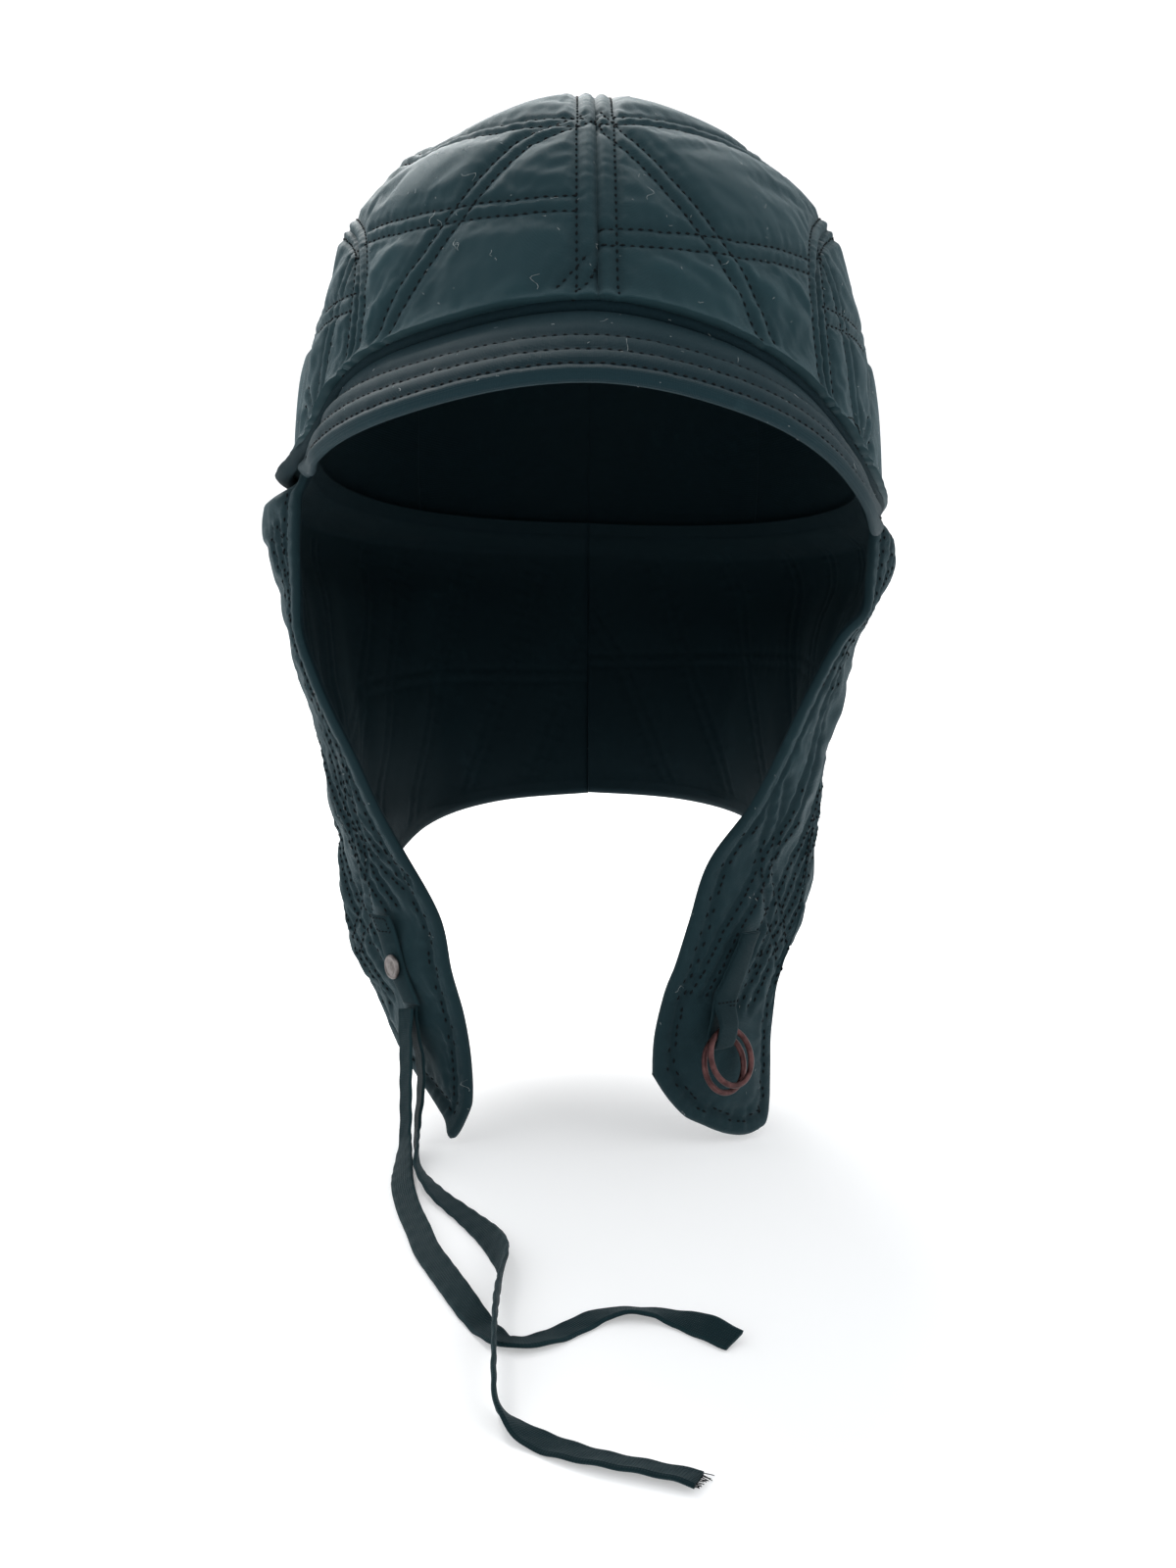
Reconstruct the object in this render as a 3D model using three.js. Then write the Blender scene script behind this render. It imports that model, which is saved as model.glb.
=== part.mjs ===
// A quilted cloth aviator hat with a soft stitched peak and long ear flaps, as a scene graph.
// Millimetres, +Z up. The front faces -Y and the wearer's left side is +X.
// The origin is the middle of the head opening, level with the crown's lower edge over the ears.

import * as THREE from 'three';
import { mergeVertices } from 'three/addons/utils/BufferGeometryUtils.js';

// Driving dimensions
const crown = { halfWidth: 90.5, halfLength: 105, height: 107, roundness: 2.1, wall: 3.6 };
const seamShift = 2.5; // the cap sits a little askew, so its centre seam starts left of the middle
const sewnGap = 0.3;
const roll = { out: 2.6, up: 2.2, proud: 0.6, sides: 6, steps: 72 };
const flapBend = { left: 62, right: 34 }; // how rounded the front part of each flap is, in degrees
const peakWall = 3.2;
const flapWall = 4;
const flapAround = 205; // about the length of a flap's level section, from its front edge to the nape
const flapSeamLevel = -7; // about the height at which the flaps are sewn on
const flapFront = 0.3; // the share of a flap's section that is its bent front part
const tape = { width: 6.2, thickness: 1, bevel: 0.4, steps: 56 };
const wire = { ringRadius: 7.9, radius: 0.85, apart: 2.1, play: 0.55, steps: 24, sides: 6 };
const hang = { drop: 0.9, stagger: 2.4 }; // how the back ring hangs and how much higher the front one
const tab = { thickness: 1.1, lift: 0.6 };
const ringTab = { width: 8, top: -140, stitch: -160, bottom: -171.8, topShare: 0.089, bottomShare: 0.082 };
const loopShape = { round: 3, pad: 0.4, padAtStitch: 0.8, below: 5, holeBelow: 1.6, holeSlant: 3.4 };
const loopStance = { off: 1.1, twist: 0.34, lean: 12, extraLean: 5, narrowing: 0.25, above: 4, under: 6 };
const snapTab = { width: 7.5, top: -136.5, bottom: -161.5, topShare: 0.094, bottomShare: 0.074 };
const snapCap = { radius: 4, height: 1.5, level: -150.8, sides: 20 };

// How many cells each sheet of cloth has, one way and the other
const cells = { crownTop: [10, 22], crownSide: [16, 9], peak: [36, 5], flap: [26, 15], tab: 3, snapTab: 4 };

// The rolled edge round the head: its height and how far it flares out. Turn is in degrees from the
// front, positive to the left
const hemTable = [
  { turn: -180, rise: -10, flare: 0 },
  { turn: -130, rise: -9, flare: 0.3 },
  { turn: -100, rise: -7, flare: 1.2 },
  { turn: -82, rise: -5, flare: 2.6 },
  { turn: -70, rise: -2.4, flare: 1.6 },
  { turn: -60, rise: 1, flare: 0.6 },
  { turn: -45, rise: 14, flare: 0 },
  { turn: -25, rise: 20, flare: 0 },
  { turn: 0, rise: 24, flare: 0 },
  { turn: 20, rise: 19.2, flare: 0 },
  { turn: 36, rise: 11.2, flare: 0 },
  { turn: 52, rise: -1.2, flare: 0 },
  { turn: 65, rise: -10.2, flare: 0.4 },
  { turn: 80, rise: -14.6, flare: 1.2 },
  { turn: 100, rise: -15, flare: 0.8 },
  { turn: 130, rise: -14, flare: 0.2 },
  { turn: 180, rise: -10, flare: 0 },
];

// The seam between the crown's top and its D-shaped side, from the brow over the ear to the back
const archTable = [
  { step: 0, turn: 45.5, rise: 17 },
  { step: 1, turn: 44.8, rise: 24 },
  { step: 2, turn: 47, rise: 39 },
  { step: 3, turn: 52.5, rise: 51 },
  { step: 4, turn: 62, rise: 60 },
  { step: 5, turn: 76, rise: 65.5 },
  { step: 6, turn: 92, rise: 67.5 },
  { step: 7, turn: 108, rise: 65 },
  { step: 8, turn: 121, rise: 57 },
  { step: 9, turn: 129, rise: 44 },
  { step: 10, turn: 133, rise: 26 },
  { step: 11, turn: 135, rise: -4 },
];

// The peak: how far it reaches from its seam and how steeply it slopes, in degrees below level
const peakTable = [
  { turn: -70, reach: 3, slope: 80 },
  { turn: -66, reach: 4.5, slope: 76 },
  { turn: -60, reach: 8.5, slope: 70 },
  { turn: -54, reach: 15, slope: 64 },
  { turn: -49, reach: 21.5, slope: 59 },
  { turn: -45, reach: 24.8, slope: 56 },
  { turn: -25, reach: 31.5, slope: 42 },
  { turn: 0, reach: 35.5, slope: 35 },
  { turn: 25, reach: 31.5, slope: 42 },
  { turn: 45, reach: 25.5, slope: 56 },
  { turn: 51, reach: 23, slope: 61 },
  { turn: 56, reach: 19.9, slope: 66 },
  { turn: 61, reach: 16.3, slope: 70 },
  { turn: 66, reach: 13, slope: 72 },
  { turn: 71, reach: 10, slope: 72 },
  { turn: 76, reach: 7, slope: 72 },
];

// Level sections of the ear flaps: the front edge, the widest place, and the middle of the back
const leftFlapTable = [
  { level: -200, edgeOut: 20.2, edgeFront: 64, sideOut: 57.5, sideFront: 38, back: 94 },
  { level: -185, edgeOut: 19, edgeFront: 66, sideOut: 57.5, sideFront: 39, back: 94 },
  { level: -170, edgeOut: 19.2, edgeFront: 66, sideOut: 57.5, sideFront: 38, back: 94 },
  { level: -158, edgeOut: 21.9, edgeFront: 65, sideOut: 58.5, sideFront: 36, back: 94 },
  { level: -150, edgeOut: 25, edgeFront: 65, sideOut: 62, sideFront: 30, back: 94 },
  { level: -137, edgeOut: 29.4, edgeFront: 63, sideOut: 68.6, sideFront: 20, back: 95 },
  { level: -121, edgeOut: 35.2, edgeFront: 60, sideOut: 71.6, sideFront: 13, back: 96 },
  { level: -107, edgeOut: 46.8, edgeFront: 57, sideOut: 73.5, sideFront: 10, back: 98 },
  { level: -91, edgeOut: 57.1, edgeFront: 52, sideOut: 76.4, sideFront: 8, back: 100 },
  { level: -71, edgeOut: 67.5, edgeFront: 46, sideOut: 80.7, sideFront: 8, back: 103 },
  { level: -57, edgeOut: 76.1, edgeFront: 40, sideOut: 84.5, sideFront: 8, back: 105 },
  { level: -49, edgeOut: 84, edgeFront: 36, sideOut: 88.5, sideFront: 8, back: 106 },
  { level: -36, edgeOut: 85.8, edgeFront: 29, sideOut: 96, sideFront: 7, back: 108 },
  { level: -25, edgeOut: 87.5, edgeFront: 23, sideOut: 97.8, sideFront: 5, back: 109 },
  { level: -14, edgeOut: 90, edgeFront: 20, sideOut: 95, sideFront: 2, back: 108 },
  { level: 4, edgeOut: 90, edgeFront: 20, sideOut: 91, sideFront: 0, back: 105 },
];

const rightFlapTable = [
  { level: -202, edgeOut: 38.3, edgeFront: 61, sideOut: 54, sideFront: 28, back: 94 },
  { level: -190, edgeOut: 35.1, edgeFront: 62, sideOut: 57.5, sideFront: 25, back: 94 },
  { level: -178, edgeOut: 35, edgeFront: 62, sideOut: 62, sideFront: 22, back: 94 },
  { level: -165, edgeOut: 36.8, edgeFront: 62, sideOut: 67.3, sideFront: 19, back: 94 },
  { level: -152, edgeOut: 40.3, edgeFront: 61, sideOut: 73.8, sideFront: 16, back: 94 },
  { level: -137, edgeOut: 43.7, edgeFront: 58, sideOut: 76.6, sideFront: 15, back: 95 },
  { level: -118, edgeOut: 55.1, edgeFront: 55, sideOut: 78, sideFront: 13, back: 97 },
  { level: -106, edgeOut: 62.3, edgeFront: 52, sideOut: 81, sideFront: 12, back: 98 },
  { level: -91, edgeOut: 70.1, edgeFront: 48, sideOut: 83, sideFront: 12, back: 100 },
  { level: -78, edgeOut: 77.3, edgeFront: 45, sideOut: 86.2, sideFront: 12, back: 102 },
  { level: -69, edgeOut: 81.5, edgeFront: 43, sideOut: 89.6, sideFront: 12, back: 103 },
  { level: -54, edgeOut: 87.5, edgeFront: 38, sideOut: 93.6, sideFront: 11, back: 105 },
  { level: -40, edgeOut: 88.4, edgeFront: 34, sideOut: 97, sideFront: 9, back: 107 },
  { level: -25, edgeOut: 89, edgeFront: 29, sideOut: 102.3, sideFront: 6, back: 109 },
  { level: -10, edgeOut: 89, edgeFront: 26, sideOut: 101, sideFront: 3, back: 108 },
  { level: 4, edgeOut: 89, edgeFront: 25, sideOut: 91, sideFront: 0, back: 105 },
];

// Soft folds on the ear flaps, each a ridge between two places on the flap
const leftFoldTable = [
  { share: 0.06, level: -168, toShare: 0.18, toLevel: -40, height: 1.5, spread: 5 },
  { share: 0.2, level: -150, toShare: 0.3, toLevel: -30, height: 1.8, spread: 7 },
  { share: 0.42, level: -128, toShare: 0.44, toLevel: -35, height: 1.6, spread: 8 },
  { share: 0.7, level: -112, toShare: 0.66, toLevel: -35, height: 1.6, spread: 9 },
];

const rightFoldTable = [
  { share: 0.07, level: -185, toShare: 0.16, toLevel: -45, height: 1.5, spread: 5 },
  { share: 0.22, level: -160, toShare: 0.26, toLevel: -30, height: 2, spread: 6 },
  { share: 0.4, level: -140, toShare: 0.4, toLevel: -30, height: 1.6, spread: 8 },
  { share: 0.68, level: -115, toShare: 0.66, toLevel: -35, height: 1.6, spread: 9 },
];

// Broad dents in the crown, as places on it with a depth and a spread
const dentTable = [
  { x: -52, y: -20, z: 88, depth: 4, spread: 26 },
  { x: 48, y: -20, z: 92, depth: 1.6, spread: 22 },
  { x: 2, y: 0, z: 107, depth: 1.2, spread: 6 },
];

// The flaps' lower edge, from the front edge to the middle of the nape as a share of the way round
const flapHemTable = [
  { share: 0, left: -180, right: -190 },
  { share: 0.015, left: -185.5, right: -199 },
  { share: 0.03, left: -190, right: -200.4 },
  { share: 0.045, left: -192.8, right: -196.4 },
  { share: 0.065, left: -194.6, right: -193.8 },
  { share: 0.095, left: -197.5, right: -190.2 },
  { share: 0.12, left: -199, right: -187.2 },
  { share: 0.145, left: -199.7, right: -184 },
  { share: 0.17, left: -199.2, right: -181.2 },
  { share: 0.19, left: -197.5, right: -178 },
  { share: 0.2, left: -192, right: -175.5 },
  { share: 0.204, left: -180, right: -174 },
  { share: 0.207, left: -168, right: -172.8 },
  { share: 0.213, left: -160.5, right: -170 },
  { share: 0.23, left: -156.8, right: -165 },
  { share: 0.25, left: -153.6, right: -160.5 },
  { share: 0.3, left: -145, right: -153.5 },
  { share: 0.36, left: -136.5, right: -147 },
  { share: 0.48, left: -126, right: -134 },
  { share: 0.62, left: -118.5, right: -122 },
  { share: 0.8, left: -114, right: -115 },
  { share: 1, left: -112, right: -112 },
];

// The snap cap's outline, as shares of its radius and height: a dome with a rim
const capTable = [
  { reach: 0, rise: 0 },
  { reach: 0.95, rise: 0 },
  { reach: 1, rise: 0.35 },
  { reach: 0.9, rise: 0.75 },
  { reach: 0.75, rise: 0.7 },
  { reach: 0.5, rise: 0.92 },
  { reach: 0, rise: 1 },
];

// The two ties: the middle line of each tape and the direction of its width, in degrees
const outerTieTable = [
  { x: -52.7, y: -55.1, z: -162.9, azimuth: -40, lift: 0 },
  { x: -52.8, y: -56.7, z: -168.5, azimuth: -44, lift: 0 },
  { x: -52.6, y: -57.3, z: -177, azimuth: -48, lift: 0 },
  { x: -52.6, y: -58.3, z: -185.4, azimuth: -50, lift: 0 },
  { x: -52.4, y: -60.2, z: -193.4, azimuth: -50, lift: 12 },
  { x: -52.2, y: -63.8, z: -198.8, azimuth: -48, lift: 28 },
  { x: -51.4, y: -73.9, z: -201.1, azimuth: -34, lift: 26 },
  { x: -49.3, y: -90.9, z: -201.5, azimuth: -14, lift: 14 },
  { x: -45.6, y: -107.2, z: -201.7, azimuth: 8, lift: 12 },
  { x: -41.2, y: -122.2, z: -201.5, azimuth: 18, lift: 15 },
  { x: -37.8, y: -134.1, z: -201.4, azimuth: 20, lift: 17 },
  { x: -33.6, y: -144.5, z: -201.4, azimuth: 22, lift: 18 },
  { x: -28.4, y: -156.8, z: -201.5, azimuth: 26, lift: 15 },
  { x: -24.7, y: -165.2, z: -201.9, azimuth: 34, lift: 8 },
  { x: -21.7, y: -171, z: -202.4, azimuth: 50, lift: 0 },
  { x: -19.4, y: -175.2, z: -202, azimuth: 68, lift: -6 },
  { x: -17, y: -178.4, z: -201.8, azimuth: 86, lift: -10 },
  { x: -13.4, y: -178.9, z: -201.8, azimuth: 96, lift: -10 },
  { x: -9.3, y: -177.2, z: -202, azimuth: 106, lift: -6 },
  { x: -4.8, y: -173.2, z: -202.4, azimuth: 114, lift: 0 },
  { x: -0.4, y: -169, z: -202.2, azimuth: 114, lift: 2 },
  { x: 3.2, y: -166.2, z: -202, azimuth: 108, lift: -6 },
  { x: 6.6, y: -165.6, z: -201.6, azimuth: 97, lift: -14 },
  { x: 10.6, y: -165.6, z: -201.4, azimuth: 86, lift: -18 },
  { x: 15.4, y: -166.2, z: -201.9, azimuth: 76, lift: -8 },
  { x: 20.3, y: -169.6, z: -201.7, azimuth: 66, lift: 12 },
  { x: 24.3, y: -174, z: -201, azimuth: 58, lift: 26 },
  { x: 29.5, y: -179, z: -201.4, azimuth: 52, lift: 18 },
];

const innerTieTable = [
  { x: -51.8, y: -54.1, z: -162.8, azimuth: 140, lift: 0 },
  { x: -50.6, y: -55.3, z: -168.9, azimuth: 130, lift: 0 },
  { x: -48.8, y: -55.4, z: -177.5, azimuth: 120, lift: 0 },
  { x: -48.4, y: -56.4, z: -185.9, azimuth: 114, lift: -4 },
  { x: -49, y: -58.6, z: -193.4, azimuth: 114, lift: -26 },
  { x: -48.9, y: -62.6, z: -198.2, azimuth: 122, lift: -60 },
  { x: -47.3, y: -74.3, z: -199.7, azimuth: 0, lift: -88 },
  { x: -44.9, y: -85.3, z: -200.4, azimuth: 10, lift: -45 },
  { x: -38.9, y: -98.6, z: -201.5, azimuth: 22, lift: -12 },
  { x: -34.5, y: -105.7, z: -201.9, azimuth: 24, lift: 0 },
  { x: -29.2, y: -115, z: -201.8, azimuth: 30, lift: 8 },
  { x: -23.7, y: -127.1, z: -201, azimuth: 26, lift: 26 },
  { x: -20.5, y: -138.1, z: -200, azimuth: 14, lift: 50 },
  { x: -19.1, y: -146.8, z: -199.4, azimuth: 2, lift: 72 },
  { x: -19.3, y: -155.4, z: -199.3, azimuth: -4, lift: 84 },
  { x: -19.3, y: -166.2, z: -198.3, azimuth: -2, lift: 88 },
  { x: -19, y: -175.9, z: -197.5, azimuth: 0, lift: 90 },
  { x: -18.5, y: -185, z: -197.5, azimuth: 0, lift: 90 },
  { x: -17.9, y: -194.8, z: -197.5, azimuth: 2, lift: 91 },
  { x: -17.4, y: -201.8, z: -198.3, azimuth: 10, lift: 93 },
  { x: -16.7, y: -205.8, z: -199.4, azimuth: 24, lift: 104 },
  { x: -14.9, y: -209, z: -200.4, azimuth: 42, lift: 135 },
  { x: -10.9, y: -212.6, z: -202, azimuth: 54, lift: 174 },
  { x: -7.4, y: -215.2, z: -202.3, azimuth: 67, lift: 180 },
  { x: -4, y: -217.5, z: -202.1, azimuth: 73, lift: 176 },
  { x: 1.7, y: -220.5, z: -201.8, azimuth: 76, lift: 170 },
  { x: 7.5, y: -222.7, z: -201.7, azimuth: 76, lift: 168 },
  { x: 14.5, y: -225.2, z: -201.7, azimuth: 76, lift: 168 },
  { x: 18.5, y: -226.8, z: -201.9, azimuth: 72, lift: 172 },
];

// Reads one column of a table between its rows, along a smooth curve
function reader(rows, key, column) {
  const slopes = rows.map((row, i) => {
    const before = rows[Math.max(0, i - 1)];
    const after = rows[Math.min(rows.length - 1, i + 1)];
    return (after[column] - before[column]) / (after[key] - before[key]);
  });
  return (place) => {
    const x = THREE.MathUtils.clamp(place, rows[0][key], rows[rows.length - 1][key]);
    let i = 0;
    while (i < rows.length - 2 && x > rows[i + 1][key]) {
      i += 1;
    }
    const span = rows[i + 1][key] - rows[i][key];
    const t = (x - rows[i][key]) / span;
    const low = rows[i][column];
    const high = rows[i + 1][column];
    const ease = t * t * (3 - 2 * t);
    const leave = t * (1 - t) * (1 - t) * span * slopes[i];
    const arrive = t * t * (t - 1) * span * slopes[i + 1];
    return low + (high - low) * ease + leave + arrive;
  };
}

const radians = THREE.MathUtils.degToRad;
const mix = THREE.MathUtils.lerp;
const hemRise = reader(hemTable, 'turn', 'rise');

// Moves a point along its ray from the origin onto the crown's outside, or onto an inner skin
function ontoDome(point, inset = 0) {
  const p = crown.roundness;
  const level = Math.hypot(point.x / (crown.halfWidth - inset), point.y / (crown.halfLength - inset));
  const rise = Math.max(0, point.z) / (crown.height - inset);
  const onto = point.clone().divideScalar((level ** p + rise ** p) ** (1 / p));
  for (const dent of dentTable) {
    const away = onto.distanceTo(new THREE.Vector3(dent.x, dent.y, dent.z));
    onto.multiplyScalar(1 - (dent.depth / crown.halfLength) * Math.exp(-((away / dent.spread) ** 2)));
  }
  return onto;
}

// The point of the crown's outside at a turn from the front and a height
function domePoint(turn, height) {
  const p = crown.roundness;
  const narrowing = (1 - (Math.max(0, height) / crown.height) ** p) ** (1 / p);
  return new THREE.Vector3(
    crown.halfWidth * narrowing * Math.sin(radians(turn)),
    -crown.halfLength * narrowing * Math.cos(radians(turn)),
    height,
  );
}

// The crown's lower rim, just above the rolled edge
function rimPoint(turn) {
  return domePoint(turn, hemRise(turn) + roll.up + sewnGap);
}

// The seam round a side panel; side is 1 for the left and -1 for the right
function archPoint(side, t) {
  const step = t * archTable[archTable.length - 1].step;
  const turn = side * reader(archTable, 'step', 'turn')(step);
  const floor = hemRise(turn) + roll.up + sewnGap;
  const rise = reader(archTable, 'step', 'rise')(step);
  const endBlend = Math.min(1, step, archTable.length - 1 - step);
  return domePoint(turn, mix(floor, rise, endBlend));
}

// A four-sided patch between its boundary curves
function patch(bottom, top, start, end, u, v) {
  const point = new THREE.Vector3();
  point.addScaledVector(bottom(u), 1 - v);
  point.addScaledVector(top(u), v);
  point.addScaledVector(start(v), 1 - u);
  point.addScaledVector(end(v), u);
  point.addScaledVector(bottom(0), -(1 - u) * (1 - v));
  point.addScaledVector(bottom(1), -u * (1 - v));
  point.addScaledVector(top(0), -(1 - u) * v);
  point.addScaledVector(top(1), -u * v);
  return point;
}

// A closed body from a list of corners and triangles, turned so that its faces point out
function solid(points, triangles) {
  let volume = 0;
  for (const [a, b, c] of triangles) {
    volume += points[a].dot(points[b].clone().cross(points[c]));
  }
  const outward = volume > 0 ? triangles : triangles.map(([a, b, c]) => [a, c, b]);
  const geometry = new THREE.BufferGeometry();
  const flat = points.flatMap((point) => point.toArray());
  geometry.setAttribute('position', new THREE.Float32BufferAttribute(flat, 3));
  geometry.setIndex(outward.flat());
  return mergeVertices(geometry, 1e-4);
}

// A closed wall: place(u, v, skin) gives the outside where skin is 0 and the inside where it is 1
function wallSolid(columns, rows, place) {
  const points = [];
  const triangles = [];
  const index = (skin, i, j) => (skin * (columns + 1) + i) * (rows + 1) + j;
  for (const skin of [0, 1]) {
    for (let i = 0; i <= columns; i += 1) {
      for (let j = 0; j <= rows; j += 1) {
        points.push(place(i / columns, j / rows, skin));
      }
    }
  }
  const quad = (a, b, c, d) => triangles.push([a, b, c], [a, c, d]);
  for (let i = 0; i < columns; i += 1) {
    for (let j = 0; j < rows; j += 1) {
      quad(index(0, i, j), index(0, i + 1, j), index(0, i + 1, j + 1), index(0, i, j + 1));
      quad(index(1, i, j + 1), index(1, i + 1, j + 1), index(1, i + 1, j), index(1, i, j));
    }
    quad(index(1, i, 0), index(1, i + 1, 0), index(0, i + 1, 0), index(0, i, 0));
    quad(index(0, i, rows), index(0, i + 1, rows), index(1, i + 1, rows), index(1, i, rows));
  }
  for (let j = 0; j < rows; j += 1) {
    quad(index(0, 0, j), index(0, 0, j + 1), index(1, 0, j + 1), index(1, 0, j));
    quad(index(1, columns, j), index(1, columns, j + 1), index(0, columns, j + 1), index(0, columns, j));
  }
  return solid(points, triangles);
}

// A tube through rings of points, closed on itself or capped at both ends
function ringSolid(rings, loop) {
  const sides = rings[0].length;
  const points = rings.flat();
  const triangles = [];
  const last = loop ? rings.length : rings.length - 1;
  for (let i = 0; i < last; i += 1) {
    const here = i * sides;
    const next = ((i + 1) % rings.length) * sides;
    for (let k = 0; k < sides; k += 1) {
      const m = (k + 1) % sides;
      triangles.push([here + k, next + k, next + m], [here + k, next + m, here + m]);
    }
  }
  for (let k = 1; k < sides - 1 && !loop; k += 1) {
    const end = (rings.length - 1) * sides;
    triangles.push([0, k, k + 1], [end, end + k + 1, end + k]);
  }
  return solid(points, triangles);
}

// Half of the crown's top, from the centre seam out to the side panel's seam
function crownTop(side) {
  const centre = (v) => {
    const front = rimPoint(0);
    const back = rimPoint(180);
    const startAngle = Math.atan2(front.z, -front.y);
    const angle = mix(startAngle, Math.PI - Math.atan2(back.z, back.y), v);
    return ontoDome(new THREE.Vector3(0, -Math.cos(angle), Math.sin(angle)).multiplyScalar(100));
  };
  const arch = (v) => archPoint(side, v);
  const firstTurn = archTable[0].turn;
  const lastTurn = archTable[archTable.length - 1].turn;
  const brow = (u) => rimPoint(side * firstTurn * u);
  const nape = (u) => rimPoint(side * mix(180, lastTurn, u));
  return wallSolid(...cells.crownTop, (u, v, skin) => {
    const point = patch(brow, nape, centre, arch, u * (1 - sewnGap / crown.halfWidth), v);
    point.x += (side * (sewnGap / 2) + seamShift * (1 - v)) * (1 - u);
    return ontoDome(point, skin * crown.wall);
  });
}

// A side panel over the ear: a D whose straight side is the rolled edge
function crownSide(side) {
  const shoulder = 0.27;
  const inset = sewnGap / crown.height;
  const firstTurn = archTable[0].turn;
  const lastTurn = archTable[archTable.length - 1].turn;
  const bottom = (u) => rimPoint(side * mix(firstTurn, lastTurn, u));
  const top = (u) => archPoint(side, mix(shoulder, 1 - shoulder, u));
  const start = (v) => archPoint(side, shoulder * v);
  const end = (v) => archPoint(side, 1 - shoulder * v);
  return wallSolid(...cells.crownSide, (u, v, skin) => {
    const point = patch(bottom, top, start, end, mix(inset, 1 - inset, u), v * (1 - inset));
    return ontoDome(point, skin * crown.wall);
  });
}

// The rolled lower edge, a fold of cloth all the way round
function hemRoll() {
  const flare = reader(hemTable, 'turn', 'flare');
  const rings = [];
  for (let i = 0; i < roll.steps; i += 1) {
    const turn = mix(-180, 180, i / roll.steps);
    const middle = domePoint(turn, hemRise(turn));
    const out = new THREE.Vector3(middle.x, middle.y, 0).normalize();
    const halfFlare = flare(turn) / 2;
    middle.addScaledVector(out, halfFlare + roll.proud);
    const ring = [];
    for (let k = 0; k < roll.sides; k += 1) {
      const angle = (2 * Math.PI * k) / roll.sides;
      const point = middle.clone().addScaledVector(out, (roll.out + halfFlare) * Math.cos(angle));
      point.z += roll.up * Math.sin(angle);
      ring.push(point);
    }
    rings.push(ring);
  }
  return ringSolid(rings, true);
}

// The peak, tucked under the roll and bent down towards its two ends
function peak() {
  const reach = reader(peakTable, 'turn', 'reach');
  const slope = reader(peakTable, 'turn', 'slope');
  const firstTurn = peakTable[0].turn;
  const lastTurn = peakTable[peakTable.length - 1].turn;
  const tuck = 1;
  const camber = 1.6;
  return wallSolid(...cells.peak, (u, v, skin) => {
    const turn = mix(firstTurn, lastTurn, u);
    const root = domePoint(turn, hemRise(turn));
    const out = new THREE.Vector3(root.x, root.y, 0).normalize();
    const tilt = radians(slope(turn));
    const along = reach(turn) * v;
    const lift = camber * Math.sin(Math.PI * v) - skin * peakWall;
    const point = root.clone();
    point.z -= roll.up + sewnGap;
    point.addScaledVector(out, along * Math.cos(tilt) + lift * Math.sin(tilt) - tuck);
    point.z += lift * Math.cos(tilt) - along * Math.sin(tilt);
    return point;
  });
}

// The outside of an ear flap and its half of the nape curtain, as a function of the share of the
// way round from the front edge and the height
function flapSurface(side) {
  const table = side > 0 ? leftFlapTable : rightFlapTable;
  const read = (column) => reader(table, 'level', column);
  const edgeOut = read('edgeOut');
  const edgeFront = read('edgeFront');
  const sideOut = read('sideOut');
  const sideFront = read('sideFront');
  const back = read('back');
  const bend = radians(side > 0 ? flapBend.left : flapBend.right);
  const squareness = 0.88;
  const samples = 48;
  const sectionPoint = (w, level) => {
    const front = -sideFront(level);
    if (w < flapFront) {
      const q = (1 - w / flapFront) * bend;
      const inward = (1 - Math.cos(q)) / (1 - Math.cos(bend));
      const forward = Math.sin(q) / Math.sin(bend);
      const x = mix(sideOut(level), edgeOut(level), inward);
      return new THREE.Vector3(side * x, mix(front, -edgeFront(level), forward), level);
    }
    const q = ((w - flapFront) / (1 - flapFront)) * (Math.PI / 2);
    const x = sideOut(level) * Math.max(0, Math.cos(q)) ** squareness;
    return new THREE.Vector3(side * x, mix(front, back(level), Math.sin(q) ** squareness), level);
  };
  const sections = new Map();
  return (share, level) => {
    const key = level.toFixed(4);
    if (!sections.has(key)) {
      const lengths = [0];
      for (let i = 1; i <= samples; i += 1) {
        const step = sectionPoint(i / samples, level).distanceTo(sectionPoint((i - 1) / samples, level));
        lengths.push(lengths[i - 1] + step);
      }
      sections.set(key, lengths);
    }
    const lengths = sections.get(key);
    const wanted = THREE.MathUtils.clamp(share, 0, 1) * lengths[samples];
    let i = 0;
    while (i < samples - 1 && lengths[i + 1] < wanted) {
      i += 1;
    }
    const part = (wanted - lengths[i]) / (lengths[i + 1] - lengths[i]);
    return sectionPoint((i + part) / samples, level);
  };
}

// How far the folds lift the flap's cloth at a place
function foldLift(folds, share, level) {
  let lift = 0;
  for (const fold of folds) {
    const alongX = (fold.toShare - fold.share) * flapAround;
    const alongY = fold.toLevel - fold.level;
    const x = (share - fold.share) * flapAround;
    const y = level - fold.level;
    const length = Math.hypot(alongX, alongY);
    const t = THREE.MathUtils.clamp((x * alongX + y * alongY) / length ** 2, 0, 1);
    const away = Math.hypot(x - alongX * t, y - alongY * t);
    lift += fold.height * Math.sin(Math.PI * t) ** 0.5 * Math.exp(-((away / fold.spread) ** 2));
  }
  return lift;
}

// The direction that points out of a flap at a place on it
function flapNormal(surface, side, share, level) {
  const h = 0.01;
  const across = surface(Math.min(1, share + h), level).sub(surface(Math.max(0, share - h), level));
  const up = surface(share, level + 1).sub(surface(share, level - 1));
  return across.cross(up).multiplyScalar(side).normalize();
}

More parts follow.
